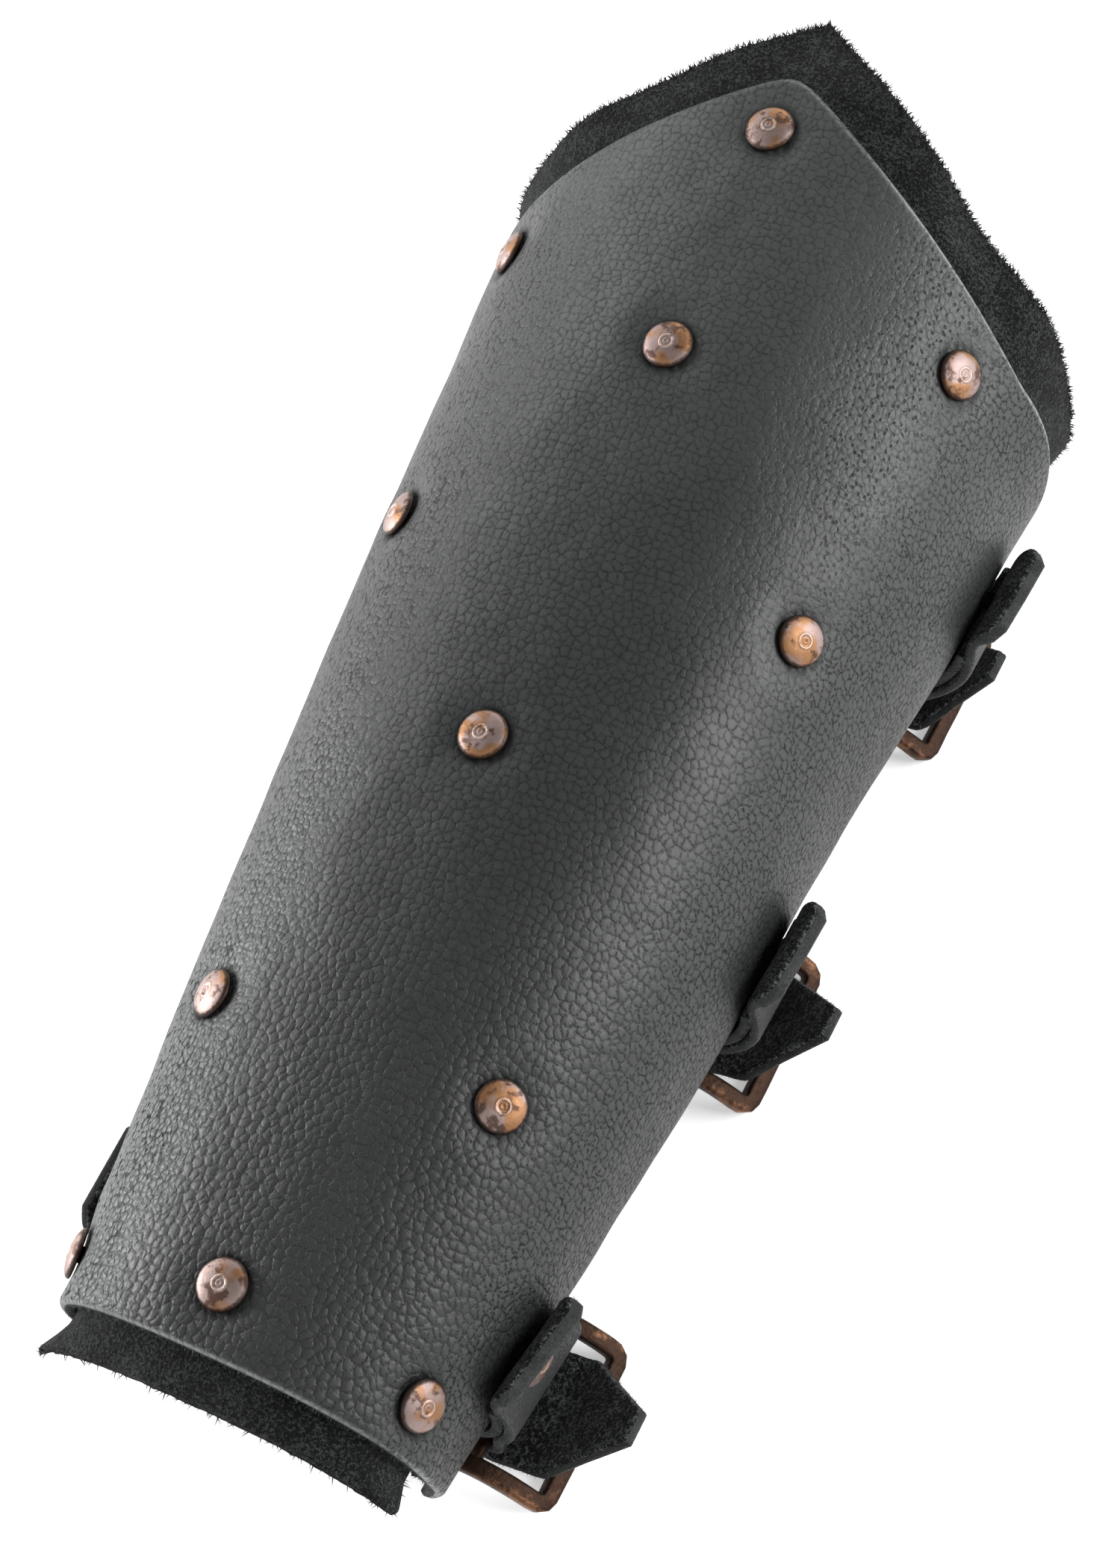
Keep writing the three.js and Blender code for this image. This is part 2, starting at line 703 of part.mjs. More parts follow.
for (const buckle of buckles) {
  const tabTop = roundAtHeight(1, buckle.topHeight, buckle.y);
  const strapTop = roundAtHeight(-1, buckle.topHeight - strapDrop, buckle.y);
  const tabRivet = rivetAt(tabTop + tabRivetInset, buckle.y, layerGap + tabThickness + outerLayer);
  const strapRivet = rivetAt(-(strapTop + tabRivetInset + 1), buckle.y, strapThickness + seatGap);
  for (const rivet of [tabRivet, strapRivet]) {
    plate = plate.subtract(rivet.hole);
    liner = liner.subtract(rivet.hole);
  }
  addPiece(`tab_${buckle.name}`, makeTab(buckle).subtract(tabRivet.hole), finishes.strap);
  addPiece(`strap_${buckle.name}`, makeStrap(buckle).subtract(strapRivet.hole), finishes.strap);
  addPiece(`buckle_frame_${buckle.name}`, makeFrame(buckle), finishes.antique);
  addPiece(`buckle_tongue_${buckle.name}`, makeTongue(buckle), finishes.antique);
  addPiece(`tab_rivet_${buckle.name}`, tabRivet.body, finishes.copper);
  addPiece(`strap_rivet_${buckle.name}`, strapRivet.body, finishes.copper);
}
addPiece("plate", plate, finishes.grain);
addPiece("liner", liner, finishes.suede);
for (const rivet of rivets) addPiece(rivet.name, rivet.body, finishes.copper);

// The origin is the middle of the bracer's box, on the table
const box = new THREE.Box3().setFromObject(bracer);
const middle = box.getCenter(new THREE.Vector3());
bracer.position.set(-middle.x, -middle.y, -box.min.z);

export default bracer;
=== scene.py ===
"""A leather bracer lying on its straps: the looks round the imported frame.

Metres in the scene and millimetres in the working, +X to the buckle side, +Y to the elbow, +Z up.
The leather is laid on the same arm form as the solids, so every piece goes where they are.
"""

import math
from collections import namedtuple

import bmesh
import bpy
import numpy as np
from mathutils import Matrix, Vector, noise


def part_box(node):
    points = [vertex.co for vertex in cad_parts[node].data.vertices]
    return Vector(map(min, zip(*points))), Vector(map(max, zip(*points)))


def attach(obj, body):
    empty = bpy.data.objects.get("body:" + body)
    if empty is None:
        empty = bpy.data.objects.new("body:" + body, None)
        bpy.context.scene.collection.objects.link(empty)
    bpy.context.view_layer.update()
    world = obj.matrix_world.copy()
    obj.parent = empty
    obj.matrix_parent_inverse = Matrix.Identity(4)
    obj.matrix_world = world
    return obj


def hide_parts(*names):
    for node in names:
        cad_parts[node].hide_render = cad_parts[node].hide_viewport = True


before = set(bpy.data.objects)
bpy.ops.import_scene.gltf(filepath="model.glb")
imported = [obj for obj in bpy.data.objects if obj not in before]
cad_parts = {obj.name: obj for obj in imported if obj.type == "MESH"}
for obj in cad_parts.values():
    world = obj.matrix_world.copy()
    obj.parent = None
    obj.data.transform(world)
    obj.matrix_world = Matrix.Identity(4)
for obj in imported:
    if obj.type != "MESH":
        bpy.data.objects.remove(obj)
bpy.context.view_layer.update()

MM = 0.001

# Sizes of the arm form
PLATE_LENGTH = 226.4
WRIST_HALF_WIDTH = 33.5
ELBOW_HALF_WIDTH = 55.5
MID_SWELL = 1.3
WRIST_HEIGHT = 48
ELBOW_HEIGHT = 93.3
WIDEST_SHARE = 0.457
UPPER_POWER = 2.2
WRIST_LOWER_POWER = 3.2
ELBOW_LOWER_POWER = 2.1
PLATE_LIFT = 6
PLATE_THICKNESS = 3
POINT_RISE = 24.8
POINT_HALF_WIDTH = 58
POINT_RADIUS = 3
WRIST_SAG = 3.2
BACK_GAP_WRIST = 64
BACK_GAP_ELBOW = 73
DENTS = (  # along and reach as shares of the length, side, depth as a share of the half width
    (0.58, 0.13, 1, 0.036),
    (0.86, 0.1, 1, 0.022),
    (0.5, 0.22, -1, -0.008),
)

LINER_THICKNESS = 1.8
LINER_WRIST_MARGIN = 7
LINER_ELBOW_MARGIN = 13
LINER_SIDE_MARGIN = 3
LINER_NEAR_FLARE = 2.2
LINER_FAR_FLARE = 4.8
LINER_POINT_FLARE = 1.2
LINER_WRIST_FLARE = 4
LINER_WRIST_DIP = 2.5
LINER_BEND_START = 1
LINER_POINT_RADIUS = 0.2
ELBOW_NAP_START = 60
SEAT_GAP = 0.3
LAYER_GAP = 0.4
LINER_LIFT = -PLATE_THICKNESS - LAYER_GAP
LINER_CORNER = 42.5  # past here the liner's wrist edge runs back under the plate
LINER_TUCK_RUN = 7
LINER_TUCK = 9
LINER_TIP_FLARE = 2.2

HEAD_HEIGHT = 1.9
WORN_HEAD_RADIUS = 4.25  # hammered heads spread a little
RIVET_SIDES = 44

STATION_START = 26.2
STATION_PITCH = 76.5
STATIONS = (  # name, top of the tab as a share of the arm's height, strap tip's reach and lean
    ("wrist", 0.564, 18.9, 48),
    ("middle", 0.482, 18.2, 50),
    ("elbow", 0.429, 16.8, 56.5),
)
STRAP_WIDTH = 21
STRAP_THICKNESS = 2.2
STRAP_TIP_FLAT = 5.6
STRAP_BEVEL = 17
STRAP_CLIP = 3
STRAP_DROP = 2
TAB_WIDTH = 20
TAB_THICKNESS = 2
TAB_CLIP = 2.6
TAB_RIVET_INSET = 6.5
TAB_INNER_TOP = 10.5  # the inner layer stops behind the rivet
TAB_PINCH = 1.1  # the rivet draws the outer layer in
TAB_FREE_SWELL = 0.9
TAB_FREE_TOP = 1.4
TAB_FREE_LIFT = 3.2
OUTER_LAYER = TAB_THICKNESS + SEAT_GAP
BUCKLE_LINE = 31
CENTRE_BAR_HEIGHT = 7.6
CENTRE_BAR_RADIUS = 1.2
FRAME_REACH = 13
FRAME_HALF_WIDTH = 13.6
FRAME_CORNER_RADIUS = 1.7
FRAME_SPREAD = 0.4  # the worn ring is a little wider than the plain one
FRAME_BAR_WIDTH = 2.9
FRAME_BAR_DEPTH = 2.5
FRONT_BAR_HEIGHT = 3.7
REST_EASE = 0.155
FOLD_EASE = 0.2
WEAVE_EASE = 0.7
WALL_STEPS = 7
FOLD_RADIUS = CENTRE_BAR_RADIUS + SEAT_GAP + FOLD_EASE + TAB_THICKNESS / 2
TONGUE_RADIUS = 0.8

RIVET_ROWS = (  # name, share of the length, share of the half width round the arm
    ("wrist", 0.0415, 0.555),
    ("lower", 0.23, 0.345),
    ("upper", 0.619, 0.398),
    ("elbow", 0.855, 0.405),
)
CROWN_RIVETS = (("wrist", 0.045), ("lower", 0.453), ("upper", 0.769), ("point", 0.954))


def box_middle(node):
    low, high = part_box(node)
    return (Vector(low) + Vector(high)) / 2 / MM


# Takes places on the arm form to the frame's, in mm
SHIFT_ALONG = box_middle("buckle_frame_middle").y - STATION_START - STATION_PITCH
SHIFT = np.array([box_middle("rivet_crown_upper").x, SHIFT_ALONG, 0.0])


# The arm form, on arrays of numbers
def mix(a, b, t):
    return a + (b - a) * t


def smooth(t):
    t = np.clip(t, 0, 1)
    return t * t * (3 - 2 * t)


def signed_power(v, power):
    return np.sign(v) * np.abs(v) ** power


def unit(v):
    return v / np.maximum(np.linalg.norm(v, axis=-1, keepdims=True), 1e-9)


def bell(*ways):
    """1 in the middle, and near 0 from a distance of 2 on along any of the ways."""
    return np.exp(-sum(way**2 for way in ways))


def stacked(*values):
    return np.stack(np.broadcast_arrays(*values), axis=-1)


def walked(line):
    """Distances from the start of a line to each of its points."""
    return np.concatenate([[0], np.cumsum(np.linalg.norm(np.diff(line, axis=0), axis=1))])


def outline_point(turn, y):
    """Point of the section outline: turn 0 is the crown, +-pi the underside."""
    u = y / PLATE_LENGTH
    height = mix(WRIST_HEIGHT, ELBOW_HEIGHT, u)
    width = mix(WRIST_HALF_WIDTH, ELBOW_HALF_WIDTH, u) + 4 * u * (1 - u) * MID_SWELL
    dent = 0
    for along, reach, side, depth in DENTS:
        dent = dent + np.where(np.sign(turn) == side, depth * bell((u - along) / reach), 0)
    width = width - dent * ELBOW_HALF_WIDTH * np.sin(turn) ** 2
    lower = mix(WRIST_LOWER_POWER, ELBOW_LOWER_POWER, np.clip(u, 0, 1))
    power = np.where(np.cos(turn) >= 0, UPPER_POWER, lower)
    across = signed_power(np.sin(turn), 2 / power)
    rise = signed_power(np.cos(turn), 2 / power)
    below = height * WIDEST_SHARE
    z = PLATE_LIFT + below + np.where(rise >= 0, height - below, below) * rise
    return stacked(width * across, y, z)


TURN_STEPS = 360
TURNS = np.linspace(0, math.pi, TURN_STEPS + 1)


def walk_round(side, y):
    """Points round one side of the section at each of the steps, and how far round they are."""
    line = outline_point(side * TURNS, np.full(TURN_STEPS + 1, float(y)))
    return line, walked(line)


TABLE_START, TABLE_END = -18, 256
WALKS = {side: [walk_round(side, y)[1] for y in range(TABLE_START, TABLE_END + 1)] for side in (-1, 1)}
HALF_WALK = np.array([walk[-1] for walk in WALKS[1]])


def turn_at(s, y):
    s, y = np.broadcast_arrays(np.asarray(s, float), np.asarray(y, float))
    shape = s.shape
    s, y = s.ravel(), y.ravel()
    row = np.clip(y - TABLE_START, 0, TABLE_END - TABLE_START - 1e-6)
    low = row.astype(int)
    part = row - low
    out = np.zeros(len(s))
    for side in (-1, 1):
        on_side = (s < 0) == (side < 0)
        for k in np.unique(low[on_side]):
            here = on_side & (low == k)
            first = np.interp(np.abs(s[here]), WALKS[side][k], TURNS)
            second = np.interp(np.abs(s[here]), WALKS[side][k + 1], TURNS)
            out[here] = side * mix(first, second, part[here])
    return out.reshape(shape)


def on_arm(s, y, lift=0.0):
    """Points and normals at distance s round the arm and y along it, lifted off the outer face."""
    s, y = np.broadcast_arrays(np.asarray(s, float), np.asarray(y, float))
    turn = turn_at(s, y)
    point = outline_point(turn, y)
    round_way = outline_point(turn + 0.01, y) - outline_point(turn - 0.01, y)
    along_way = outline_point(turn, y + 0.5) - outline_point(turn, y - 0.5)
    normal = unit(np.cross(round_way, along_way))
    return point + normal * np.asarray(lift)[..., None], normal


def plate_half(y):
    half = np.interp(y, np.arange(TABLE_START, TABLE_END + 1), HALF_WALK)
    return half - mix(BACK_GAP_WRIST, BACK_GAP_ELBOW, np.asarray(y) / PLATE_LENGTH) / 2


def end_edge(s, radius):
    away = np.sqrt(s * s + radius * radius) - radius
    return PLATE_LENGTH - POINT_RISE * (1 - (1 - np.minimum(1, away / POINT_HALF_WIDTH)) ** 1.5)


def wrist_edge(s):
    return WRIST_SAG * np.minimum(1, np.abs(s) / POINT_HALF_WIDTH) ** 2


def ripple(points, scale, seed=0.0):
    """Smooth noise from -1 to 1 at an array of points, with waves about `scale` long."""
    flat = np.asarray(points, float).reshape(-1, points.shape[-1]) / scale
    if flat.shape[1] == 2:
        flat = np.hstack([flat, np.zeros((len(flat), 1))])
    values = [noise.noise(Vector((p[0], p[1], p[2] + seed))) for p in flat]
    return np.array(values).reshape(points.shape[:-1])


EDGE_STEPS = (0.0, 0.12, 0.3, 0.55, 0.85, 1.3, 1.9)


def stepped(total, step):
    """Distances from 0 to total, close together at both ends where an edge rounds over."""
    inner = total - 2 * EDGE_STEPS[-1]
    count = max(2, int(round(inner / step)))
    middle = EDGE_STEPS[-1] + inner * np.arange(1, count) / count
    return np.concatenate([EDGE_STEPS, middle, total - np.array(EDGE_STEPS[::-1])])


def rounded_off(distance, radius):
    """How far a face drops near its cut edge."""
    inside = np.clip(radius - distance, 0, radius)
    return radius - np.sqrt(np.maximum(radius * radius - inside * inside, 0))


END_SLANT = 0.87  # the pointed end runs aslant, so it is nearer than along the arm


def sheet_grid(low, high, length, steps, side_margin):
    """Grid over a sheet that runs from low(s) to high(s) along the arm.

    steps are the grid's steps along and round the arm. The ends' lines depend on s, and the
    sides' on y, so s and y are found in turns. Returns the distances round and along
    the arm, those to the two ends, and that to the nearest edge.
    """
    width = 2 * float(plate_half(PLATE_LENGTH / 2) + side_margin)
    v = stepped(length, steps[0]) / length
    u = 2 * stepped(width, steps[1]) / width - 1
    v, u = np.meshgrid(v, u, indexing="ij")
    s = np.zeros_like(u)
    y = mix(low(s), high(s), v)
    for _ in range(8):
        s = u * (plate_half(y) + side_margin)
        y = mix(low(s), high(s), v)
    to_side = (1 - np.abs(u)) * (plate_half(y) + side_margin)
    to_end = (high(s) - y) * END_SLANT
    to_start = y - low(s)
    return s, y, to_end, to_start, np.minimum(np.minimum(to_side, to_end), to_start)


# Meshes
def add_object(name, data):
    made = bpy.data.objects.new(name, data)
    bpy.context.scene.collection.objects.link(made)
    return made


def make_object(name, points, faces, finishes, face_finish=None):
    """A smooth-shaded mesh object; points are in mm from the middle of the arm form."""
    mesh = bpy.data.meshes.new(name)
    mesh.from_pydata(((points + SHIFT) * MM).tolist(), [], faces)
    for finish in finishes:
        mesh.materials.append(finish)
    if face_finish is not None:
        mesh.polygons.foreach_set("material_index", np.asarray(face_finish, dtype=np.int32))
    mesh.polygons.foreach_set("use_smooth", np.full(len(mesh.polygons), True))
    mesh.update()
    return add_object(name, mesh)


def add_attribute(piece, name, values):
    """A value at each point; points that the values don't reach get 0."""
    filled = np.zeros(len(piece.data.vertices), dtype=np.float32)
    filled[:np.size(values)] = np.ravel(values)
    layer = piece.data.attributes.new(name, "FLOAT", "POINT")
    layer.data.foreach_set("value", filled)


def read(items, key, width=1, kind=np.float32):
    """One property of every item of a mesh, as a flat array."""
    values = np.zeros(width * len(items), dtype=kind)
    items.foreach_get(key, values)
    return values


def add_map(mesh, flat):
    """UV map that holds places on the flat leather in metres."""
    corners = read(mesh.loops, "vertex_index", kind=np.int32)
    layer = mesh.uv_layers.new(name="leather_map")
    layer.data.foreach_set("uv", (flat[corners] * MM).astype(np.float32).ravel())


def grid_faces(rows, columns, start, flip):
    i, j = np.meshgrid(np.arange(rows - 1), np.arange(columns - 1), indexing="ij")
    a = (start + i * columns + j).ravel()
    quads = stacked(a, a + columns, a + columns + 1, a + 1)
    return quads[:, ::-1] if flip else quads


def leather_sheet(name, top, bottom, flat, finishes, rings, bulge, ragged, seed):
    """One closed piece of leather between two facing grids of points, with a cut edge round it.

    flat holds each grid point's place on the flat leather. The finishes are those of the face,
    the back and the cut edge, and then, where they differ, of the first and last row's cut ends.
    """
    rows, columns = top.shape[:2]
    count = rows * columns
    loop = [(i, 0) for i in range(rows)]
    loop += [(rows - 1, j) for j in range(1, columns)]
    loop += [(i, columns - 1) for i in range(rows - 2, -1, -1)]
    loop += [(0, j) for j in range(columns - 2, 0, -1)]
    loop = np.array(loop)
    rim, inward = tuple(loop.T), tuple(np.clip(loop, 1, (rows - 2, columns - 2)).T)
    middle = (top + bottom) / 2
    edge_top, edge_bottom, flat_edge = top[rim], bottom[rim], flat[rim]
    outward = unit(middle[rim] - middle[inward])
    flat_out = unit(flat_edge - flat[inward])
    thick = np.linalg.norm(edge_top - edge_bottom, axis=1)[:, None]
    points, places = [top.reshape(-1, 3), bottom.reshape(-1, 3)], [flat.reshape(-1, 2)] * 2
    for k in range(1, rings + 1):
        t = k / (rings + 1)
        ring = mix(edge_top, edge_bottom, t)
        rough = ragged * ripple(ring, 1.1, seed + k)[:, None]
        points.append(ring + outward * (bulge * 4 * t * (1 - t) + rough))
        places.append(flat_edge + flat_out * thick * t)
    points = np.vstack(points)
    length = len(loop)
    rim_kinds = np.full(length, 2)
    if len(finishes) > 3:
        for row, kind in ((0, 3), (rows - 1, 4)):
            rim_kinds[(rim[0] == row) & (np.roll(rim[0], -1) == row)] = kind
    top_loop = loop[:, 0] * columns + loop[:, 1]
    chain = [top_loop] + [2 * count + k * length + np.arange(length) for k in range(rings)]
    chain.append(top_loop + count)
    faces = [grid_faces(rows, columns, 0, False), grid_faces(rows, columns, count, True)]
    kinds = [np.zeros(len(faces[0])), np.ones(len(faces[1]))]
    for first, second in zip(chain[:-1], chain[1:]):
        faces.append(stacked(np.roll(first, -1), first, second, np.roll(second, -1)))
        kinds.append(rim_kinds)
    faces = np.vstack(faces)
    corners = points[faces]
    spans = np.cross(corners[:, 1], corners[:, 2]) + np.cross(corners[:, 2], corners[:, 3])
    if np.sum(corners[:, 0] * spans) < 0:  # the faces look inward
        faces = faces[:, ::-1]
    piece = make_object(name, points, faces.tolist(), finishes, np.concatenate(kinds))
    add_map(piece.data, np.vstack(places))
    add_attribute(piece, "cut_edge", np.arange(len(points)) >= 2 * count)
    return piece


BAR_SOFTNESS = 2 / 4.6  # the power of a squarish section with worn edges


def tube(points, wide, deep, up, sides, closed=False):
    """Points and faces of a rounded bar swept along a line; wide and deep are its half sizes."""
    count = len(points)
    if closed:
        run = np.roll(points, -1, axis=0) - np.roll(points, 1, axis=0)
    else:
        run = np.gradient(points, axis=0)
    run = unit(run)
    up = unit(up - run * np.sum(up * run, axis=1, keepdims=True))
    side = np.cross(run, up)
    turns = (np.arange(sides) + 0.5) * 2 * math.pi / sides
    wide = np.broadcast_to(np.asarray(wide, float), (count,))[:, None, None]
    deep = np.broadcast_to(np.asarray(deep, float), (count,))[:, None, None]
    out = signed_power(np.cos(turns), BAR_SOFTNESS)[None, :, None]
    rise = signed_power(np.sin(turns), BAR_SOFTNESS)[None, :, None]
    ring = points[:, None] + side[:, None] * wide * out + up[:, None] * deep * rise
    vertices = ring.reshape(-1, 3)
    faces = []
    for i in range(count if closed else count - 1):
        for k in range(sides):
            a, b = i * sides + k, i * sides + (k + 1) % sides
            c, d = ((i + 1) % count) * sides + (k + 1) % sides, ((i + 1) % count) * sides + k
            faces.append((a, b, c, d))
    if not closed:
        faces.append(tuple(range(sides))[::-1])
        faces.append(tuple((count - 1) * sides + k for k in range(sides)))
    return vertices, faces


def fix_normals(piece):
    shape = bmesh.new()
    shape.from_mesh(piece.data)
    bmesh.ops.recalc_face_normals(shape, faces=shape.faces)
    shape.to_mesh(piece.data)
    shape.free()
    return piece


# Finishes
def maths(operation, reflected=False):
    """An operator of Value that adds one Math node."""

    def operator(self, other):
        values = (other, self) if reflected else (self, other)
        return self.finish.node("ShaderNodeMath", {"operation": operation}, values)

    return operator


class Value:
    """A socket of a finish, so that shader maths reads as plain sums."""

    __add__, __radd__ = maths("ADD"), maths("ADD", True)
    __sub__, __rsub__ = maths("SUBTRACT"), maths("SUBTRACT", True)
    __mul__, __rmul__ = maths("MULTIPLY"), maths("MULTIPLY", True)
    __truediv__, __rtruediv__ = maths("DIVIDE"), maths("DIVIDE", True)

    def __init__(self, finish, socket):
        self.finish = finish
        self.socket = socket

    def __neg__(self):
        return self * -1


class Finish:
    """A material under the hand of its maker."""

    def __init__(self, name, **constants):
        self.material = bpy.data.materials.new(name)
        self.material.use_nodes = True
        self.tree = self.material.node_tree
        self.shader = self.tree.nodes["Principled BSDF"]
        for socket, value in constants.items():
            self.shader.inputs[socket.replace("_", " ")].default_value = value

    def node(self, kind, settings=None, inputs=(), output=0):
        """Adds a node: settings first, then the values or links of its sockets."""
        made = self.tree.nodes.new(kind)
        for key, value in (settings or {}).items():
            setattr(made, key, value)
        pairs = inputs.items() if isinstance(inputs, dict) else enumerate(inputs)
        for key, value in pairs:
            if isinstance(value, Value):
                self.tree.links.new(value.socket, made.inputs[key])
            else:
                made.inputs[key].default_value = value
        return Value(self, made.outputs[output])

    def set(self, socket, value):
        self.tree.links.new(value.socket, self.shader.inputs[socket])

    def vector(self, operation, inputs):
        return self.node("ShaderNodeVectorMath", {"operation": operation}, inputs)

    def flat_place(self):
        """Place on the flat leather, in millimetres."""
        place = self.node("ShaderNodeUVMap", {"uv_map": "leather_map"})
        return self.vector("SCALE", {0: place, "Scale": 1 / MM})

    def place(self):
        """Place in the scene, in millimetres."""
        place = self.node("ShaderNodeTexCoord", output="Object")
        return self.vector("SCALE", {0: place, "Scale": 1 / MM})

    def noise(self, place, size, detail=2, roughness=0.5, output=0):
        inputs = {"Vector": place, "Scale": 1 / size, "Detail": detail, "Roughness": roughness}
        return self.node("ShaderNodeTexNoise", None, inputs, output)

    def cells(self, place, size, feature="F1", flat=True, loose=1.0, output=0):
        settings = {"voronoi_dimensions": "2D" if flat else "3D", "feature": feature}
        inputs = {"Vector": place, "Scale": 1 / size, "Randomness": loose}
        return self.node("ShaderNodeTexVoronoi", settings, inputs, output)

    def step(self, value, low, high):
        """Rises smoothly from 0 to 1 as value goes from low to high."""
        settings = {"interpolation_type": "SMOOTHSTEP"}
        return self.node("ShaderNodeMapRange", settings, (value, low, high))

    def blend(self, factor, first, second):
        """A colour between two, by the colour sockets of a Mix node."""
        first = first if isinstance(first, Value) else (*first, 1)
        second = second if isinstance(second, Value) else (*second, 1)
        return self.node("ShaderNodeMix", {"data_type": "RGBA"}, {0: factor, 6: first, 7: second}, 2)

    def most(self, first, second):
        return self.node("ShaderNodeMath", {"operation": "MAXIMUM"}, (first, second))

    def moved(self, place, amount, size):
        """The place pushed about by smooth noise, so that a pattern isn't regular."""
        push = self.noise(place, size, 1, output="Color")
        push = self.vector("SUBTRACT", (push, (0.5, 0.5, 0.5)))
        push = self.vector("SCALE", {0: push, "Scale": amount})
        return self.vector("ADD", (place, push))

    def stretched(self, place, scale):
        return self.vector("MULTIPLY", (place, scale))

    def part(self, place, axis):
        return self.node("ShaderNodeSeparateXYZ", None, (place,), axis)

    def mark(self, name):
        return self.node("ShaderNodeAttribute", {"attribute_name": name}, output="Fac")

    def paint_shade(self, share, colour):
        """Paints shade: turns the finish into a dark one without gloss by the given share."""
        matt = {"Base Color": (*colour, 1), "Roughness": 1.0, "Specular IOR Level": 0.0}
        matt = self.node("ShaderNodeBsdfPrincipled", None, matt)
        glossy = Value(self, self.shader.outputs[0])
        both = self.node("ShaderNodeMixShader", None, (share, glossy, matt))
        self.tree.links.new(both.socket, self.tree.nodes["Material Output"].inputs["Surface"])

    def bump(self, height, depth, strength=1.0):
        """Relief `depth` millimetres deep where height runs from 0 to 1."""
        inputs = {"Height": height, "Distance": depth * MM, "Strength": strength}
        self.set("Normal", self.node("ShaderNodeBump", None, inputs))


def grain_finish():
    """Pebbled grain leather.

    Flat cells with soft dark creases on the crown, finer pitted ones where the leather bends
    over the shoulders, and cells edged with rows of pores down the buckle side.
    """
    f = Finish("pebbled_grain_leather", Specular_IOR_Level=0.5)
    flat = f.flat_place()
    place = f.moved(f.moved(flat, 0.8, 3.2), 0.62, 0.8)
    side, along = f.part(flat, 0), f.part(flat, 1)
    drift = f.noise(flat, 9, 2)
    zone = f.noise(flat, 20, 2)
    share = side / (along * 0.14 + 63) + (zone - 0.5) * 0.24 + (drift - 0.5) * 0.12
    wall = f.step(share, 0.46, 0.62)
    left = f.step(-share, 0.14, 0.42)
    right = f.step(share, 0.14, 0.42) * (1 - wall) * f.step(along + (zone - 0.5) * 50, 110, 175)
    bend = f.most(right, left)
    lower = 1 - f.step(along + (zone - 0.5) * 60, 30, 110)

    def pebbles(size, loose):
        """Domes, the creases between them and the pits where three of them meet."""
        far = f.cells(place, size, "F1", loose=loose)
        rim = f.cells(place, size, "DISTANCE_TO_EDGE", loose=loose)
        return 1 - f.step(far, 0.05, 0.8), 1 - f.step(rim, 0.0, 0.26), f.step(far, 0.56, 0.7)

    coarse, fine = pebbles(1.55, 0.8), pebbles(1.2, 0.85)
    dome, crease, pit = (a * (1 - bend) + b * bend for a, b in zip(coarse, fine))
    depth = f.step(f.noise(flat, 2.8, 2), 0.25, 0.7)
    row = f.step(f.noise(flat, 0.48, 1, 0.5), 0.43, 0.56)
    pore = 1 - f.step(f.cells(f.stretched(place, (0.76, 0.6, 1.0)), 1.05), 0.1, 0.2)
    pore = pore * f.step(f.noise(flat, 2.2, 1) + right * 0.3, 0.36, 0.56) * f.most(wall, bend)
    crease = crease * (0.14 + depth * 0.36 + row * 0.5)
    chain = crease * row * (wall * 0.8 + 0.2)
    pit = pit * (0.25 + depth * 0.75) * (0.35 + bend * 0.65) * (1 - right * 0.7)
    pit = f.most(pit, pore)
    fibre = f.noise(flat, 0.26, 3, 0.62)
    wrinkle = f.noise(f.moved(f.stretched(flat, (1.0, 0.3, 1.0)), 1.2, 5.0), 1.2, 3, 0.6)
    relief = 0.06 + lower * 0.2 + left * 0.12 + right * 0.07 + left * lower * 0.3
    height = dome * relief - crease * relief * 0.6 - chain * 0.16 - pit * (0.16 + bend * 0.3)
    height = height + fibre * 0.05 + drift * 0.7 + wrinkle * (0.16 + bend * 0.08)
    f.bump(height, 0.34, 1.0)
    blotch = f.noise(flat, 26, 4, 0.6)
    upper = f.step(along + (zone - 0.5) * 60, 110, 225)
    tone = f.step(blotch * 0.75 + drift * 0.25, 0.34, 0.68)
    colour = f.blend(tone, (0.0085, 0.0091, 0.009), (0.0145, 0.0155, 0.0153))
    colour = f.blend(upper * (1 - left * 0.5) * 0.8, colour, (0.052, 0.0553, 0.0549))
    colour = f.blend(wall * 0.6, colour, (0.022, 0.0234, 0.0232))
    colour = f.blend(dome * 0.3, colour, (0.021, 0.0225, 0.0223))
    # Painted highlight: the wrist end of the left shoulder, where the light's band falls, is made much
    # paler.
    colour = f.blend(left * lower * 0.9, colour, (0.085, 0.0905, 0.09))
    colour = f.blend(f.step(fibre, 0.5, 0.72) * 0.3, colour, (0.045, 0.048, 0.0475))
    patch = f.part(f.cells(place, 1.55, loose=0.8, output=1), 0)
    colour = f.blend(patch * 0.28, colour, (0.026, 0.0277, 0.0275))
    # Pale line along the cut ends: partly wear, partly a painted highlight where the edge catches the light.
    wear = f.step(f.mark("edge_wear") + (fibre - 0.5) * 0.35, 0.5, 0.76)
    colour = f.blend(wear, colour, (0.19, 0.197, 0.197))
    f.set("Base Color", colour)
    f.set("Roughness", 0.39 + fibre * 0.12 + (1 - tone) * 0.06)
    # Painted shade: the creases, chains of creases, pits and the ring round each rivet take a near-black
    # matt finish without gloss.
    crease_shade = crease * (0.56 - bend * 0.3 - lower * 0.14 - right * 0.12)
    chain_shade = chain * 0.8
    pit_shade = pit * (0.62 - bend * 0.12 + left * lower * 0.3 + right * 0.12)
    hollow = f.most(crease_shade, f.most(chain_shade, pit_shade))
    f.paint_shade(f.most(hollow, f.mark("rivet_shade")), (0.0035, 0.0038, 0.0038))
    return f.material


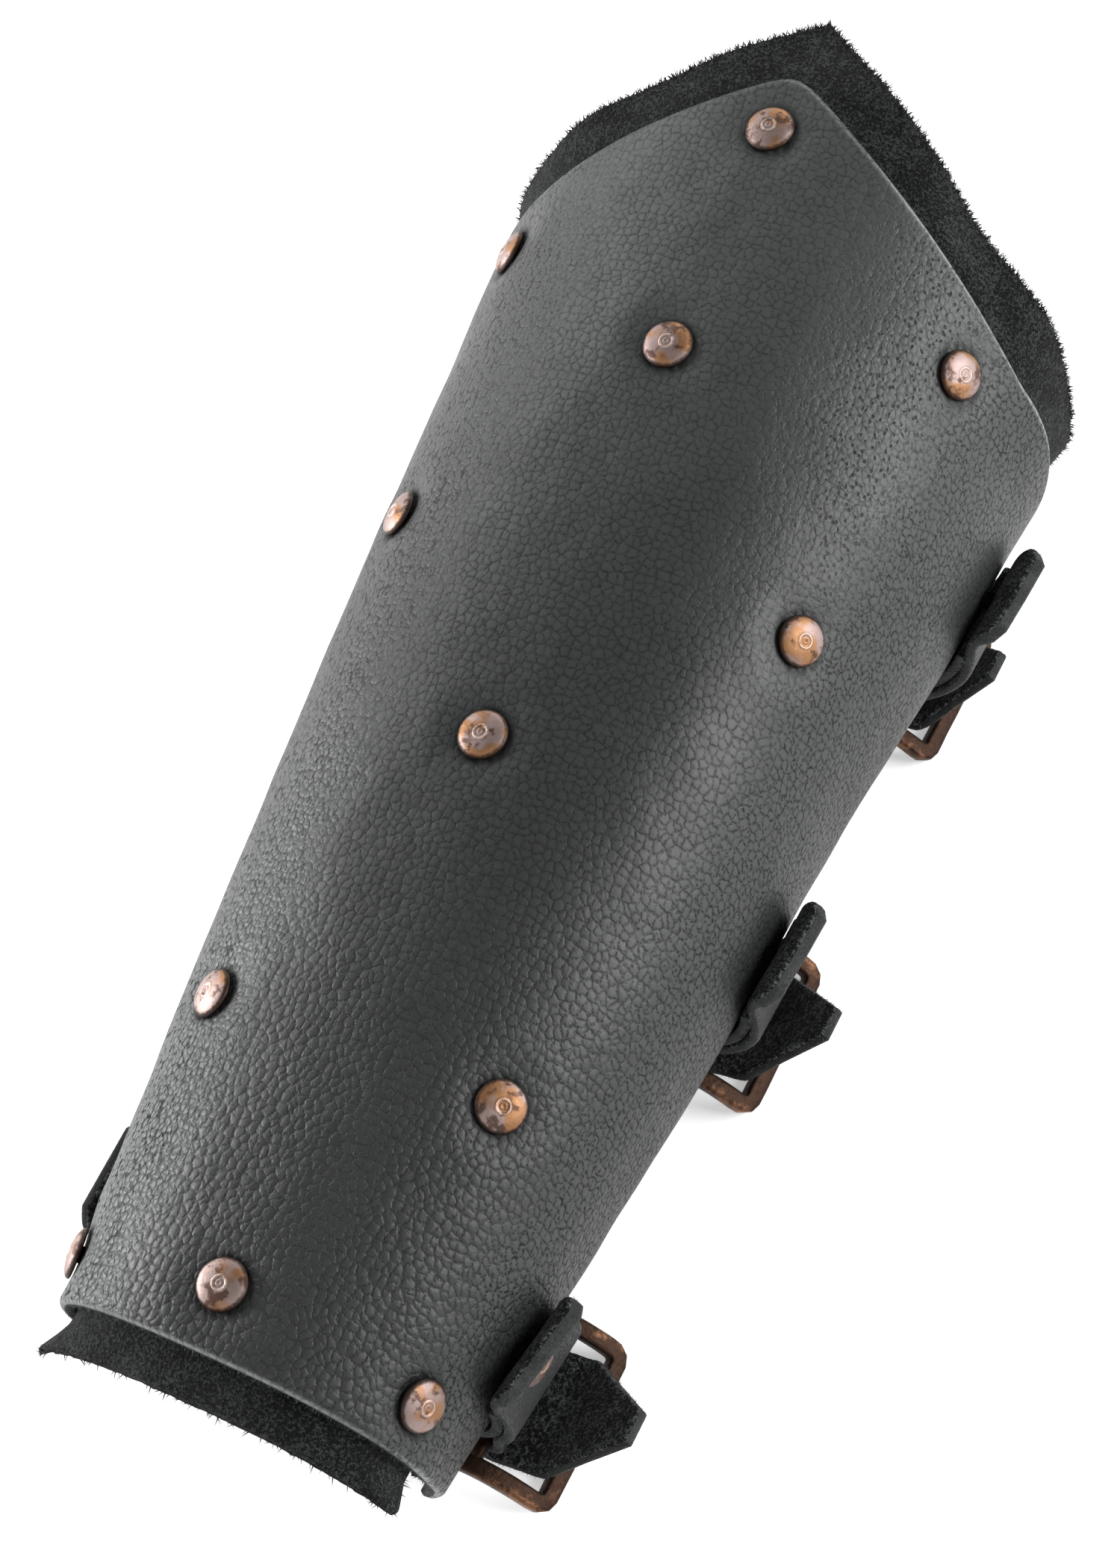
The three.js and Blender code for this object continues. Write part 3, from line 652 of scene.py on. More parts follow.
def back_finish(name, light, dark, nap):
    """The rough flesh side of leather, or suede: short fibres lying in drifts."""
    f = Finish(name, Specular_IOR_Level=0.12, Sheen_Weight=0.05, Sheen_Roughness=0.4)
    place = f.place()
    drift = f.noise(f.moved(place, 2.0, 4.0), 4.5, 3, 0.6)
    fibre = f.noise(f.moved(place, 0.5, 0.9), nap, 3, 0.62)
    speck = f.noise(place, nap * 0.5, 2, 0.7)
    tone = f.step(fibre * 0.6 + speck * 0.4 + (drift - 0.5) * 0.25, 0.45, 0.63)
    f.set("Base Color", f.blend(tone, dark, light))
    f.set("Roughness", 0.86 + drift * 0.14)
    f.bump(fibre * 0.8 + speck * 0.2 + drift * 0.5, 0.7, 1.0)
    return f.material


def cut_finish(name, light, dark):
    """A cut edge of leather: layered fibres, a little fuzzy, paler than the face."""
    f = Finish(name, Specular_IOR_Level=0.2, Sheen_Weight=0.04)
    place = f.place()
    fibre = f.noise(f.moved(place, 0.5, 0.7), 0.32, 4, 0.75)
    patch = f.noise(place, 4.0, 2)
    tone = f.step(fibre * 0.7 + patch * 0.3, 0.36, 0.66)
    f.set("Base Color", f.blend(tone, dark, light))
    f.set("Roughness", 0.8 + patch * 0.15)
    f.bump(fibre, 0.3, 0.8)
    return f.material


def strap_grain_finish():
    """Dark strap leather, grain side: fine pebbles, slight wear."""
    f = Finish("strap_grain_leather", Specular_IOR_Level=0.45)
    place = f.moved(f.place(), 0.6, 2.0)
    cell = f.cells(place, 1.0, "DISTANCE_TO_EDGE", flat=False)
    pebble = f.step(cell, 0.0, 0.24)
    fibre = f.noise(place, 0.3, 3, 0.65)
    patch = f.noise(place, 6, 3, 0.6)
    colour = f.blend(f.step(patch, 0.35, 0.7), (0.009, 0.0098, 0.0098), (0.018, 0.0193, 0.0193))
    # Painted shade in the creases between the pebbles.
    colour = f.blend((1 - pebble) * 0.6, colour, (0.004, 0.0045, 0.0045))
    f.set("Base Color", colour)
    f.set("Roughness", 0.46 + (1 - pebble) * 0.2 + fibre * 0.1)
    f.bump(pebble * 0.6 + fibre * 0.2 + patch * 0.3, 0.28, 0.8)
    return f.material


def copper_finish():
    """Worn copper heads: pinkish grey where they were hammered, orange patches, dark stains."""
    f = Finish("worn_copper", Metallic=1.0)
    place = f.place()
    patch = f.noise(f.moved(place, 2.4, 3.5), 5.2, 2, 0.5)
    spot = f.noise(place, 0.7, 4, 0.7)
    stain = f.noise(f.moved(place, 1.0, 1.6), 2.3, 3, 0.6)
    rim = f.mark("rim_wear")
    ring = f.mark("ring_wear")
    scratch = f.noise(f.stretched(place, (1.0, 6.0, 1.0)), 0.6, 2, 0.7)
    colour = f.blend(f.step(patch, 0.49, 0.62), (0.28, 0.21, 0.194), (0.265, 0.138, 0.07))
    colour = f.blend(f.step(stain, 0.52, 0.64) * 0.85, colour, (0.07, 0.037, 0.027))
    colour = f.blend(f.step(spot, 0.56, 0.74) * 0.4, colour, (0.45, 0.32, 0.26))
    # Painted contact shade: the outer rim of each head turns near black where it meets the leather; the
    # groove round the nub and all under the head darken as well.
    colour = f.blend(f.step(rim + (spot - 0.5) * 0.7, 0.5, 0.95) * 0.9, colour, (0.03, 0.019, 0.015))
    colour = f.blend(ring * f.step(spot, 0.34, 0.5) * 0.8, colour, (0.60, 0.46, 0.39))
    f.set("Base Color", colour)
    f.set("Roughness", 0.35 + stain * 0.2 + scratch * 0.1)
    # Painted shade: the shank, seen in the gap under the tab, is turned into a near-black matt finish.
    f.paint_shade(f.mark("hidden_shank"), (0.003, 0.003, 0.003))
    f.bump(spot * 0.35 + scratch * 0.3 + patch * 0.5, 0.16, 0.8)
    return f.material


def antique_finish():
    """Antiqued cast frame: dark brown in the hollows, orange copper where it rubs."""
    f = Finish("antiqued_copper", Metallic=1.0)
    place = f.place()
    # On the frames this mark holds only how much the bars are rubbed.
    wear = f.mark("rim_wear")
    spot = f.noise(place, 0.9, 4, 0.72)
    patch = f.noise(f.moved(place, 1.5, 3.0), 3.6, 3, 0.6)
    rubbed = f.step(wear + (spot - 0.5) * 0.9 + (patch - 0.5) * 1.7, 0.2, 0.85)
    colour = f.blend(rubbed, (0.036, 0.021, 0.015), (0.2, 0.098, 0.055))
    colour = f.blend(f.step(spot, 0.54, 0.68) * 0.65, colour, (0.018, 0.012, 0.01))
    f.set("Base Color", colour)
    f.set("Roughness", 0.40 + spot * 0.22 - rubbed * 0.08)
    f.bump(spot * 0.6 + patch * 0.5, 0.3, 0.9)
    return f.material


def fibre_finish(name, light, dark):
    f = Finish(name, Specular_IOR_Level=0.25, Roughness=0.8)
    tone = f.step(f.noise(f.place(), 0.9, 2), 0.35, 0.65)
    f.set("Base Color", f.blend(tone, dark, light))
    return f.material


grain = grain_finish()
suede = back_finish("black_suede", (0.04, 0.0426, 0.0426), (0.0045, 0.0048, 0.0048), 0.6)
flesh = back_finish("strap_flesh_side", (0.085, 0.0905, 0.0905), (0.005, 0.0053, 0.0053), 0.78)
plate_cut = cut_finish("plate_cut_edge", (0.075, 0.08, 0.08), (0.007, 0.0075, 0.0075))
tab_cut = cut_finish("tab_cut_edge", (0.05, 0.053, 0.053), (0.012, 0.013, 0.013))
strap_cut = cut_finish("strap_cut_edge", (0.018, 0.019, 0.019), (0.0025, 0.0028, 0.0028))
liner_cut = cut_finish("liner_cut_edge", (0.012, 0.0128, 0.0128), (0.001, 0.0011, 0.0011))
strap_grain = strap_grain_finish()
copper = copper_finish()
antique = antique_finish()
dark_fibre = fibre_finish("suede_fibres", (0.022, 0.0234, 0.0234), (0.003, 0.0032, 0.0032))
grey_fibre = fibre_finish("leather_fibres", (0.12, 0.127, 0.127), (0.02, 0.0213, 0.0213))


def dress(piece, slot, *nodes):
    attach(piece, "root")
    if nodes:
        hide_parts(*nodes)
    return piece


# Rivets: where they sit
Rivet = namedtuple("Rivet", "node s y under")


def round_at_height(side, z, y):
    """Distance round the arm at which the wall comes down to height z."""
    line, walk = walk_round(side, y)
    for i in range(TURN_STEPS // 4, TURN_STEPS):
        if line[i, 2] < z:
            return walk[i]
    return walk[-1]


def plate_rivet(name, share, along):
    y = along * PLATE_LENGTH
    return Rivet(f"rivet_{name}", share * float(plate_half(y)), y, 0)


plate_rivets = [
    plate_rivet(f"{name}_{word}", side * share, along)
    for name, along, share in RIVET_ROWS
    for side, word in ((-1, "far"), (1, "near"))
]
plate_rivets += [plate_rivet(f"crown_{name}", 0.0, along) for name, along in CROWN_RIVETS]


class Buckle:
    """Where a buckle sits: its bars in the section across the arm."""

    def __init__(self, order, name, top, tip_reach, tip_lean):
        self.name = name
        self.y = STATION_START + order * STATION_PITCH
        self.centre = np.array([BUCKLE_LINE, CENTRE_BAR_HEIGHT])
        end_height = FRAME_BAR_DEPTH / 2 + REST_EASE

        def reach_to(z):
            return math.sqrt(FRAME_REACH**2 - (CENTRE_BAR_HEIGHT - z) ** 2)

        self.end = np.array([BUCKLE_LINE + reach_to(end_height), end_height])
        self.front = np.array([BUCKLE_LINE - reach_to(FRONT_BAR_HEIGHT), FRONT_BAR_HEIGHT])
        lean = math.radians(tip_lean)
        self.tip = self.end + tip_reach * np.array([math.cos(lean), math.sin(lean)])
        self.top_height = PLATE_LIFT + top * mix(WRIST_HEIGHT, ELBOW_HEIGHT, self.y / PLATE_LENGTH)
        self.tab_top = round_at_height(1, self.top_height, self.y)
        self.strap_top = round_at_height(-1, self.top_height - STRAP_DROP, self.y)


buckles = [Buckle(order, *station) for order, station in enumerate(STATIONS)]
tab_rivets, strap_rivets = [], []
for buckle in buckles:
    under = LAYER_GAP + TAB_THICKNESS + OUTER_LAYER
    tab_rivets.append(Rivet(f"tab_rivet_{buckle.name}", buckle.tab_top + TAB_RIVET_INSET, buckle.y, under))
    under = STRAP_THICKNESS + SEAT_GAP
    strap_s = -(buckle.strap_top + TAB_RIVET_INSET + 1)
    strap_rivets.append(Rivet(f"strap_rivet_{buckle.name}", strap_s, buckle.y, under))

# Plate
PRESS_DEPTH = 0.75  # how far a rivet pulls the leather down
PRESS_REACH = 6.0
RING_HEIGHT = 0.16  # the leather swells in a ring round the dimple
RING_RADIUS = 9.5
RING_WIDTH = 3
CORNER_BULGE = 2.6  # the elbow corner on the buckle side stands out
CORNER_S, CORNER_Y = 72, 204
CORNER_REACH_S, CORNER_REACH_Y = 16, 11
CREASE_DEPTH = 0.3  # creases round the rivet at the point
CREASE_S, CREASE_Y = 2, 205
CREASE_REACH = 16
EDGE_WEAR_AND_HIGHLIGHT_REACH = 1.7
SHADE_RADIUS = 4.2  # the dark line round a rivet's head
SHADE_WIDTH = 0.75


def from_rivets(s, y):
    """Distances to each of the plate's rivets."""
    return [np.hypot(s - rivet.s, y - rivet.y) for rivet in plate_rivets]


def plate_end(s):
    return end_edge(s, POINT_RADIUS)


def make_plate():
    s, y, to_end, to_wrist, edge = sheet_grid(wrist_edge, plate_end, PLATE_LENGTH, (1.25, 1.2), 0)
    flat = stacked(s, y)
    roll = 0.35 * ripple(flat * np.array([1.0, 0.55]), 21, 3.1) + 0.16 * ripple(flat, 9, 8.7)
    roll = roll * smooth(edge / 12)
    corner = CORNER_BULGE * bell((s - CORNER_S) / CORNER_REACH_S, (y - CORNER_Y) / CORNER_REACH_Y)
    crease = CREASE_DEPTH * ripple(stacked(s, y * 0.35), 5.5, 5.2)
    crease = crease * bell(np.hypot(s - CREASE_S, y - CREASE_Y) / CREASE_REACH)
    sink = np.zeros_like(s)
    for far in from_rivets(s, y):
        sink += PRESS_DEPTH * bell(far / PRESS_REACH) - RING_HEIGHT * bell((far - RING_RADIUS) / RING_WIDTH)
    top, _ = on_arm(s, y, roll + crease + corner - sink - rounded_off(edge, 1.3))
    bottom, _ = on_arm(s, y, corner - PLATE_THICKNESS - 0.3 * sink + rounded_off(edge, 0.5))
    piece = leather_sheet("bracer_plate", top, bottom, flat, (grain, flesh, plate_cut), 4, 0.15, 0.16, 2.0)
    # Pale edge line, partly wear and partly painted highlight, stronger towards the buckle side and at the
    # wrist end.
    worn = np.exp(-to_end / EDGE_WEAR_AND_HIGHLIGHT_REACH) * (0.66 + 0.34 * smooth((s - 12) / 18))
    worn = worn + 0.8 * np.exp(-to_wrist / EDGE_WEAR_AND_HIGHLIGHT_REACH)
    add_attribute(piece, "edge_wear", np.clip(worn, 0, 1))
    contact = np.zeros_like(s)
    for far in from_rivets(s, y):
        contact = np.maximum(contact, bell((far - SHADE_RADIUS) / SHADE_WIDTH))
    add_attribute(piece, "rivet_shade", 0.85 * contact)
    return dress(piece, "grain_leather", "plate")


# Liner
LINER_DIP = 4.0  # the elbow edge dips on the buckle side
LINER_DIP_S = 40
LINER_DIP_REACH = 9
NAP_BAND = 0.6  # fibres also stand this far in from the cut edge, half as dense
PLAIN_NAP = 0.12  # their share away from the elbow


def make_liner():
    def low(s):
        tuck = np.clip((np.abs(s) - LINER_CORNER) / LINER_TUCK_RUN, 0, 1)
        return wrist_edge(s) - LINER_WRIST_MARGIN + tuck * LINER_TUCK

    def high(s):
        return end_edge(s, LINER_POINT_RADIUS) + LINER_ELBOW_MARGIN

    length = PLATE_LENGTH + LINER_WRIST_MARGIN + LINER_ELBOW_MARGIN
    s, y, _, _, edge = sheet_grid(low, high, length, (1.7, 1.5), LINER_SIDE_MARGIN)
    flat = stacked(s, y)
    past = (y - plate_end(s) - LINER_BEND_START) / LINER_ELBOW_MARGIN
    before = (wrist_edge(s) - y - LINER_BEND_START) / LINER_WRIST_MARGIN
    aside = smooth(np.abs(s) / POINT_HALF_WIDTH)
    elbow = mix(LINER_POINT_FLARE, np.where(s > 0, LINER_NEAR_FLARE, LINER_FAR_FLARE), aside)
    wrist = mix(-LINER_WRIST_DIP, LINER_WRIST_FLARE, aside)
    flare = elbow * np.clip(past, 0, 1) + wrist * np.clip(before, 0, 1)
    past, before = smooth(past), smooth(before)
    folds = stacked(s, y * 0.4)
    wave = 1.3 * ripple(folds, 15, 4.4) * past + 0.8 * ripple(folds, 13, 6.1) * before
    wave = wave - LINER_DIP * bell((s - LINER_DIP_S) / LINER_DIP_REACH) * past
    tip = LINER_TIP_FLARE * before * smooth((np.abs(s) - 30) / 12)
    lift = LINER_LIFT + flare + wave + tip
    top, _ = on_arm(s, y, lift - rounded_off(edge, 0.7))
    bottom, _ = on_arm(s, y, lift - LINER_THICKNESS + rounded_off(edge, 0.6))
    piece = leather_sheet("suede_liner", top, bottom, flat, (suede, suede, liner_cut), 3, 0.3, 0.22, 5.0)
    mark = piece.data.attributes["cut_edge"].data
    shares = read(mark, "value")
    along = read(piece.data.vertices, "co", 3)[1::3]
    shares[:edge.size][edge.ravel() < NAP_BAND] = 0.5
    shares[along < ELBOW_NAP_START * MM] *= PLAIN_NAP
    mark.foreach_set("value", shares)
    return dress(piece, "suede", "liner")


# Tabs and straps
def read_line(line, walk, want):
    """Points at the wanted distances along a line."""
    return stacked(*(np.interp(want, walk, column) for column in line.T))


def spline(points, shares):
    """Centripetal spline through the points, read at shares of its length."""
    points = np.asarray(points, float)
    padded = np.vstack([2 * points[0] - points[1], points, 2 * points[-1] - points[-2]])
    t = np.linspace(0, 1, 24, endpoint=False)[:, None]
    line = []
    for k in range(len(points) - 1):
        a, b, c, d = padded[k:k + 4]
        gaps = ((a, b), (b, c), (c, d))
        before, here, after = (max(1e-4, float(np.linalg.norm(q - p))) ** 0.5 for p, q in gaps)
        start = ((b - a) / before - (c - a) / (before + here) + (c - b) / here) * here
        stop = ((c - b) / here - (d - b) / (here + after) + (d - c) / after) * here
        bend, ease = 3 * (c - b) - 2 * start - stop, 2 * (b - c) + start + stop
        line.append(b + start * t + bend * t**2 + ease * t**3)
    line = np.vstack(line + [points[-1:]])
    walk = walked(line)
    return read_line(line, walk, np.asarray(shares) * walk[-1]), walk[-1]


def wall_point(s, y, lift):
    return on_arm(np.array([s]), np.array([y]), np.array([lift]))[0][0]


def tab_line(buckle, y):
    low = float(plate_half(buckle.y))
    drop = low - buckle.tab_top
    shift = float(plate_half(y)) - low

    def wall(d, lift):
        return wall_point(buckle.tab_top + d + shift, y, lift + LAYER_GAP + TAB_THICKNESS / 2)

    points = [wall(mix(TAB_INNER_TOP, drop - 1.2, i / WALL_STEPS), 0) for i in range(WALL_STEPS + 1)]
    toward = math.atan2(points[-1][2] - buckle.centre[1], points[-1][0] - buckle.centre[0])
    for i in range(7):
        turn = toward + math.pi / 2 + math.pi * i / 6
        x = buckle.centre[0] + FOLD_RADIUS * math.cos(turn)
        points.append(np.array([x, y, buckle.centre[1] + FOLD_RADIUS * math.sin(turn)]))
    for i in range(WALL_STEPS):
        t = i / (WALL_STEPS - 1)
        pinch = TAB_PINCH * float(smooth((t - 0.55) / 0.45))
        points.append(wall(mix(drop - 1.5, TAB_RIVET_INSET + 0.5, t), OUTER_LAYER - pinch))
    points.append(wall(TAB_RIVET_INSET - 2.2, OUTER_LAYER - 0.1))
    points.append(wall(TAB_FREE_TOP, OUTER_LAYER + TAB_FREE_LIFT))
    return points


def strap_line(buckle, y):
    half = STRAP_THICKNESS / 2
    low = float(plate_half(buckle.y))
    drop = low - buckle.strap_top
    shift = float(plate_half(y)) - low

    def wall(d, lift):
        return wall_point(-(buckle.strap_top + d + shift), y, lift + SEAT_GAP + half)

    def at(x, z):
        return np.array([x, y, z])

    front, centre, end, tip = buckle.front, buckle.centre, buckle.end, buckle.tip
    front_top = front[1] + FRAME_BAR_DEPTH / 2 + SEAT_GAP + half + WEAVE_EASE
    fold = FOLD_RADIUS + TAB_THICKNESS / 2 + SEAT_GAP + half
    end_lift = FRAME_BAR_WIDTH / 2 + SEAT_GAP + half + WEAVE_EASE
    rise = math.atan2(tip[1] - end[1] - end_lift, tip[0] - end[0])
    corner = wall(drop - 3, 1.2)
    flat_start, flat_end = corner[0] + 15, front[0] - 12
    twist = (buckle.y - y) / STRAP_WIDTH  # the wrist side of the riveted end stands off more
    return [
        wall(0.4, 1.3 + 1.6 * twist),
        wall(2.4, 0.6 + 0.8 * twist),
        wall(TAB_RIVET_INSET - 3, 0.1),
        wall(TAB_RIVET_INSET + 1, 0),
        wall(TAB_RIVET_INSET + 5.5, 0),
        wall(mix(TAB_RIVET_INSET, drop, 0.6), 0.3),
        corner,
        at(corner[0] + 4.5, mix(corner[2], half, 0.55)),
        at(corner[0] + 9.5, mix(corner[2], half, 0.9)),
        at(flat_start, half),
        at(flat_start + 4, half),
        at(mix(flat_start + 4, flat_end - 3, 0.5), half),
        at(flat_end - 3, half),
        at(flat_end, half),
        at(mix(flat_end, front[0], 0.5), mix(half, front_top, 0.42)),
        at(front[0] - 1.5, front_top - 0.2),
        at(front[0] + 1.5, front_top - 0.2),
        at(mix(front[0], centre[0], 0.45), mix(front_top, centre[1] - fold, 0.5)),
        at(centre[0], centre[1] - fold - WEAVE_EASE),
        at(end[0] - 5.5, centre[1] - fold + 0.9),
        at(end[0] - end_lift * math.sin(rise), end[1] + end_lift * math.cos(rise)),
        at(mix(end[0], tip[0], 0.5) - 0.6, mix(end[1] + end_lift, tip[1], 0.5)),
        at(tip[0], tip[1]),
    ]


def strip(names, buckle, line_at, half_at, widest, thickness, finishes, seed, swell=0.0):
    """A strip of leather whose middle line lies in sections across the arm.

    names are those of the piece and of the solid that it replaces. line_at gives the middle line
    in a section, and half_at the half width at distances along a strip of the given length.
    """
    middle = buckle.y
    _, total = spline(line_at(buckle, middle), [0, 1])
    run = stepped(total, 0.9)
    shares = run / total
    curves = [spline(line_at(buckle, middle + side * widest), shares)[0][:, None] for side in (-1, 0, 1)]
    across = 2 * stepped(2 * widest, 1.1) / (2 * widest) - 1
    half = half_at(run, total)[:, None]
    offset = half * across[None, :]
    share = offset / widest
    left, centre, right = curves
    aside = np.where(share[..., None] < 0, centre - left, right - centre)
    place = centre + aside * share[..., None]
    place[..., 1] = middle + offset
    place[..., 2] = np.maximum(place[..., 2], thickness / 2)
    slope = unit(np.gradient(place, axis=0) * np.array([1.0, 0.0, 1.0]))
    lift_way = stacked(-slope[..., 2], 0, slope[..., 0])
    to_end = np.minimum(run, total - run)[:, None]
    edge = np.minimum(half - np.abs(offset), to_end)
    flat = stacked(offset, run[:, None] + seed * 40)
    worn = 0.12 * ripple(flat, 7, seed)
    thickness = thickness + swell * smooth((run - total + 7) / 5)[:, None]
    drop = rounded_off(edge, 0.55)
    top = place + lift_way * (thickness / 2 - drop + worn)[..., None]
    bottom = place - lift_way * (thickness / 2 - drop * 0.7 - np.abs(worn) * 0.2)[..., None]
    piece = leather_sheet(names[0], top, bottom, flat, finishes, 3, 0.12, 0.12, seed)
    return dress(piece, "strap_leather", names[1])


def make_tab(buckle, seed):
    half = TAB_WIDTH / 2

    def half_at(d, total):
        return half - TAB_CLIP + np.minimum(TAB_CLIP, (total - d) * 1.2)

    # The first row's cut end, the inner layer's end under the outer layer, takes the dark flesh finish as
    # painted shade in the gap.
    finishes = (flesh, strap_grain, tab_cut, flesh, tab_cut)
    names = (f"buckle_tab_{buckle.name}", f"tab_{buckle.name}")
    return strip(names, buckle, tab_line, half_at, half, TAB_THICKNESS, finishes, seed, TAB_FREE_SWELL)


def make_strap(buckle, seed):
    half = STRAP_WIDTH / 2

    def half_at(d, total):
        tip = STRAP_TIP_FLAT / 2 + (total - d) * (half - STRAP_TIP_FLAT / 2) / STRAP_BEVEL
        return np.minimum(np.minimum(half, tip), half - STRAP_CLIP + d * 1.2)

    finishes = (flesh, strap_grain, strap_cut, strap_cut, tab_cut)
    names = (f"strap_band_{buckle.name}", f"strap_{buckle.name}")
    return strip(names, buckle, strap_line, half_at, half, STRAP_THICKNESS, finishes, seed)


# Buckles
FRAME_GROWTH = 1.08  # the worn bars are a little thicker than the plain ones
FRAME_STEPS = 96
BAR_STEPS = 15
TONGUE_LOOP_WIDE = 1.2
TONGUE_LOOP_DEEP = 0.52
LOOP_STEPS = 32
TONGUE_STEPS = 26


def cast_piece(name, node, buckle, bars, wear):
    """Bars of antiqued copper as one piece; wear gives how much each point is rubbed."""
    points, faces, start = [], [], 0
    for bar_points, bar_faces in bars:
        points.append(bar_points)
        faces += [tuple(start + v for v in face) for face in bar_faces]
        start += len(bar_points)
    points = np.vstack(points)
    piece = make_object(f"{name}_{buckle.name}", points, faces, (antique,))
    add_attribute(piece, "rim_wear", wear(points))
    fix_normals(piece)
    return dress(piece, "antique_copper", f"{node}_{buckle.name}")


def arch_point(buckle, u):
    front, centre, end = buckle.front, buckle.centre, buckle.end
    lean = (end - front) * u / 2
    sag = (end + front - 2 * centre) * u * u / 2
    return centre + lean + sag


def make_frame(buckle, seed):
    along_side = FRAME_REACH + FRAME_SPREAD - FRAME_CORNER_RADIUS
    across_side = FRAME_HALF_WIDTH + FRAME_SPREAD - FRAME_CORNER_RADIUS
    outline = []
    for a, b in ((1, 1), (-1, 1), (-1, -1), (1, -1)):
        for i in range(9):
            turn = math.atan2(b, a) - math.pi / 4 + i * math.pi / 16
            along = a * along_side + FRAME_CORNER_RADIUS * math.cos(turn)
            outline.append((along, b * across_side + FRAME_CORNER_RADIUS * math.sin(turn)))
    outline = np.array(outline + outline[:1])
    walk = walked(outline)
    along, across = read_line(outline, walk, np.linspace(0, walk[-1], FRAME_STEPS + 1)[:-1]).T
    u = along[:, None] / FRAME_REACH
    x, z = arch_point(buckle, u).T
    slope = arch_point(buckle, u + 0.01) - arch_point(buckle, u - 0.01)
    points = stacked(x, buckle.y + across, z)
    ups = stacked(-slope[:, 1], 0, slope[:, 0])
    rough = ripple(points, 5, seed)
    wide = FRAME_BAR_WIDTH / 2 * (FRAME_GROWTH + 0.06 * rough)
    deep = FRAME_BAR_DEPTH / 2 * (FRAME_GROWTH - 0.02 + 0.05 * rough)
    ring = tube(points, wide, deep, ups, 20, True)
    bar = buckle.y + np.linspace(-FRAME_HALF_WIDTH, FRAME_HALF_WIDTH, BAR_STEPS)
    bar = stacked(buckle.centre[0], bar, buckle.centre[1])
    bar = tube(bar, CENTRE_BAR_RADIUS, CENTRE_BAR_RADIUS, np.array([0.0, 0.0, 1.0]), 12)

    def wear(points):
        away = np.abs(points[:, :2] - (buckle.centre[0], buckle.y)) / (FRAME_REACH, FRAME_HALF_WIDTH)
        outer, corner = away.max(axis=1), away.min(axis=1)
        return np.clip((outer - 0.98) * 5, 0, 1) * (0.35 + 0.75 * smooth(corner - 0.25))

    return cast_piece("buckle_ring", "buckle_frame", buckle, (ring, bar), wear)


def make_tongue(buckle, seed):
    inner = CENTRE_BAR_RADIUS + SEAT_GAP
    centre, front = buckle.centre, buckle.front
    turns = np.linspace(0, 2 * math.pi, LOOP_STEPS + 1)[:-1]
    radius = inner + TONGUE_LOOP_DEEP + 0.03
    away = stacked(np.cos(turns), 0, np.sin(turns))
    loop = stacked(centre[0] + radius * away[:, 0], buckle.y, centre[1] + radius * away[:, 2])
    loop = tube(loop, TONGUE_LOOP_WIDE, TONGUE_LOOP_DEEP, away, 12, True)
    low = front[1] - FRAME_BAR_DEPTH / 2 - SEAT_GAP - TONGUE_RADIUS
    line = [
        (centre[0] - inner - 0.5, buckle.y, centre[1] - 0.6),
        (mix(front[0], centre[0], 0.62), buckle.y, mix(low, centre[1], 0.62)),
        (mix(front[0], centre[0], 0.32), buckle.y, mix(low, centre[1], 0.22)),
        (front[0], buckle.y, low),
        (front[0] - 2.4, buckle.y, low),
    ]
    shares = np.linspace(0, 1, TONGUE_STEPS)
    points, _ = spline(line, shares)
    size = TONGUE_RADIUS * (1 - 0.35 * smooth((shares - 0.8) / 0.2))
    prong = tube(points, size, size, np.array([0.0, 1.0, 0.0]), 12)

    def wear(points):
        return 0.35 + 0.3 * ripple(points, 3, seed)

    return cast_piece("buckle_prong", "buckle_tongue", buckle, (loop, prong), wear)


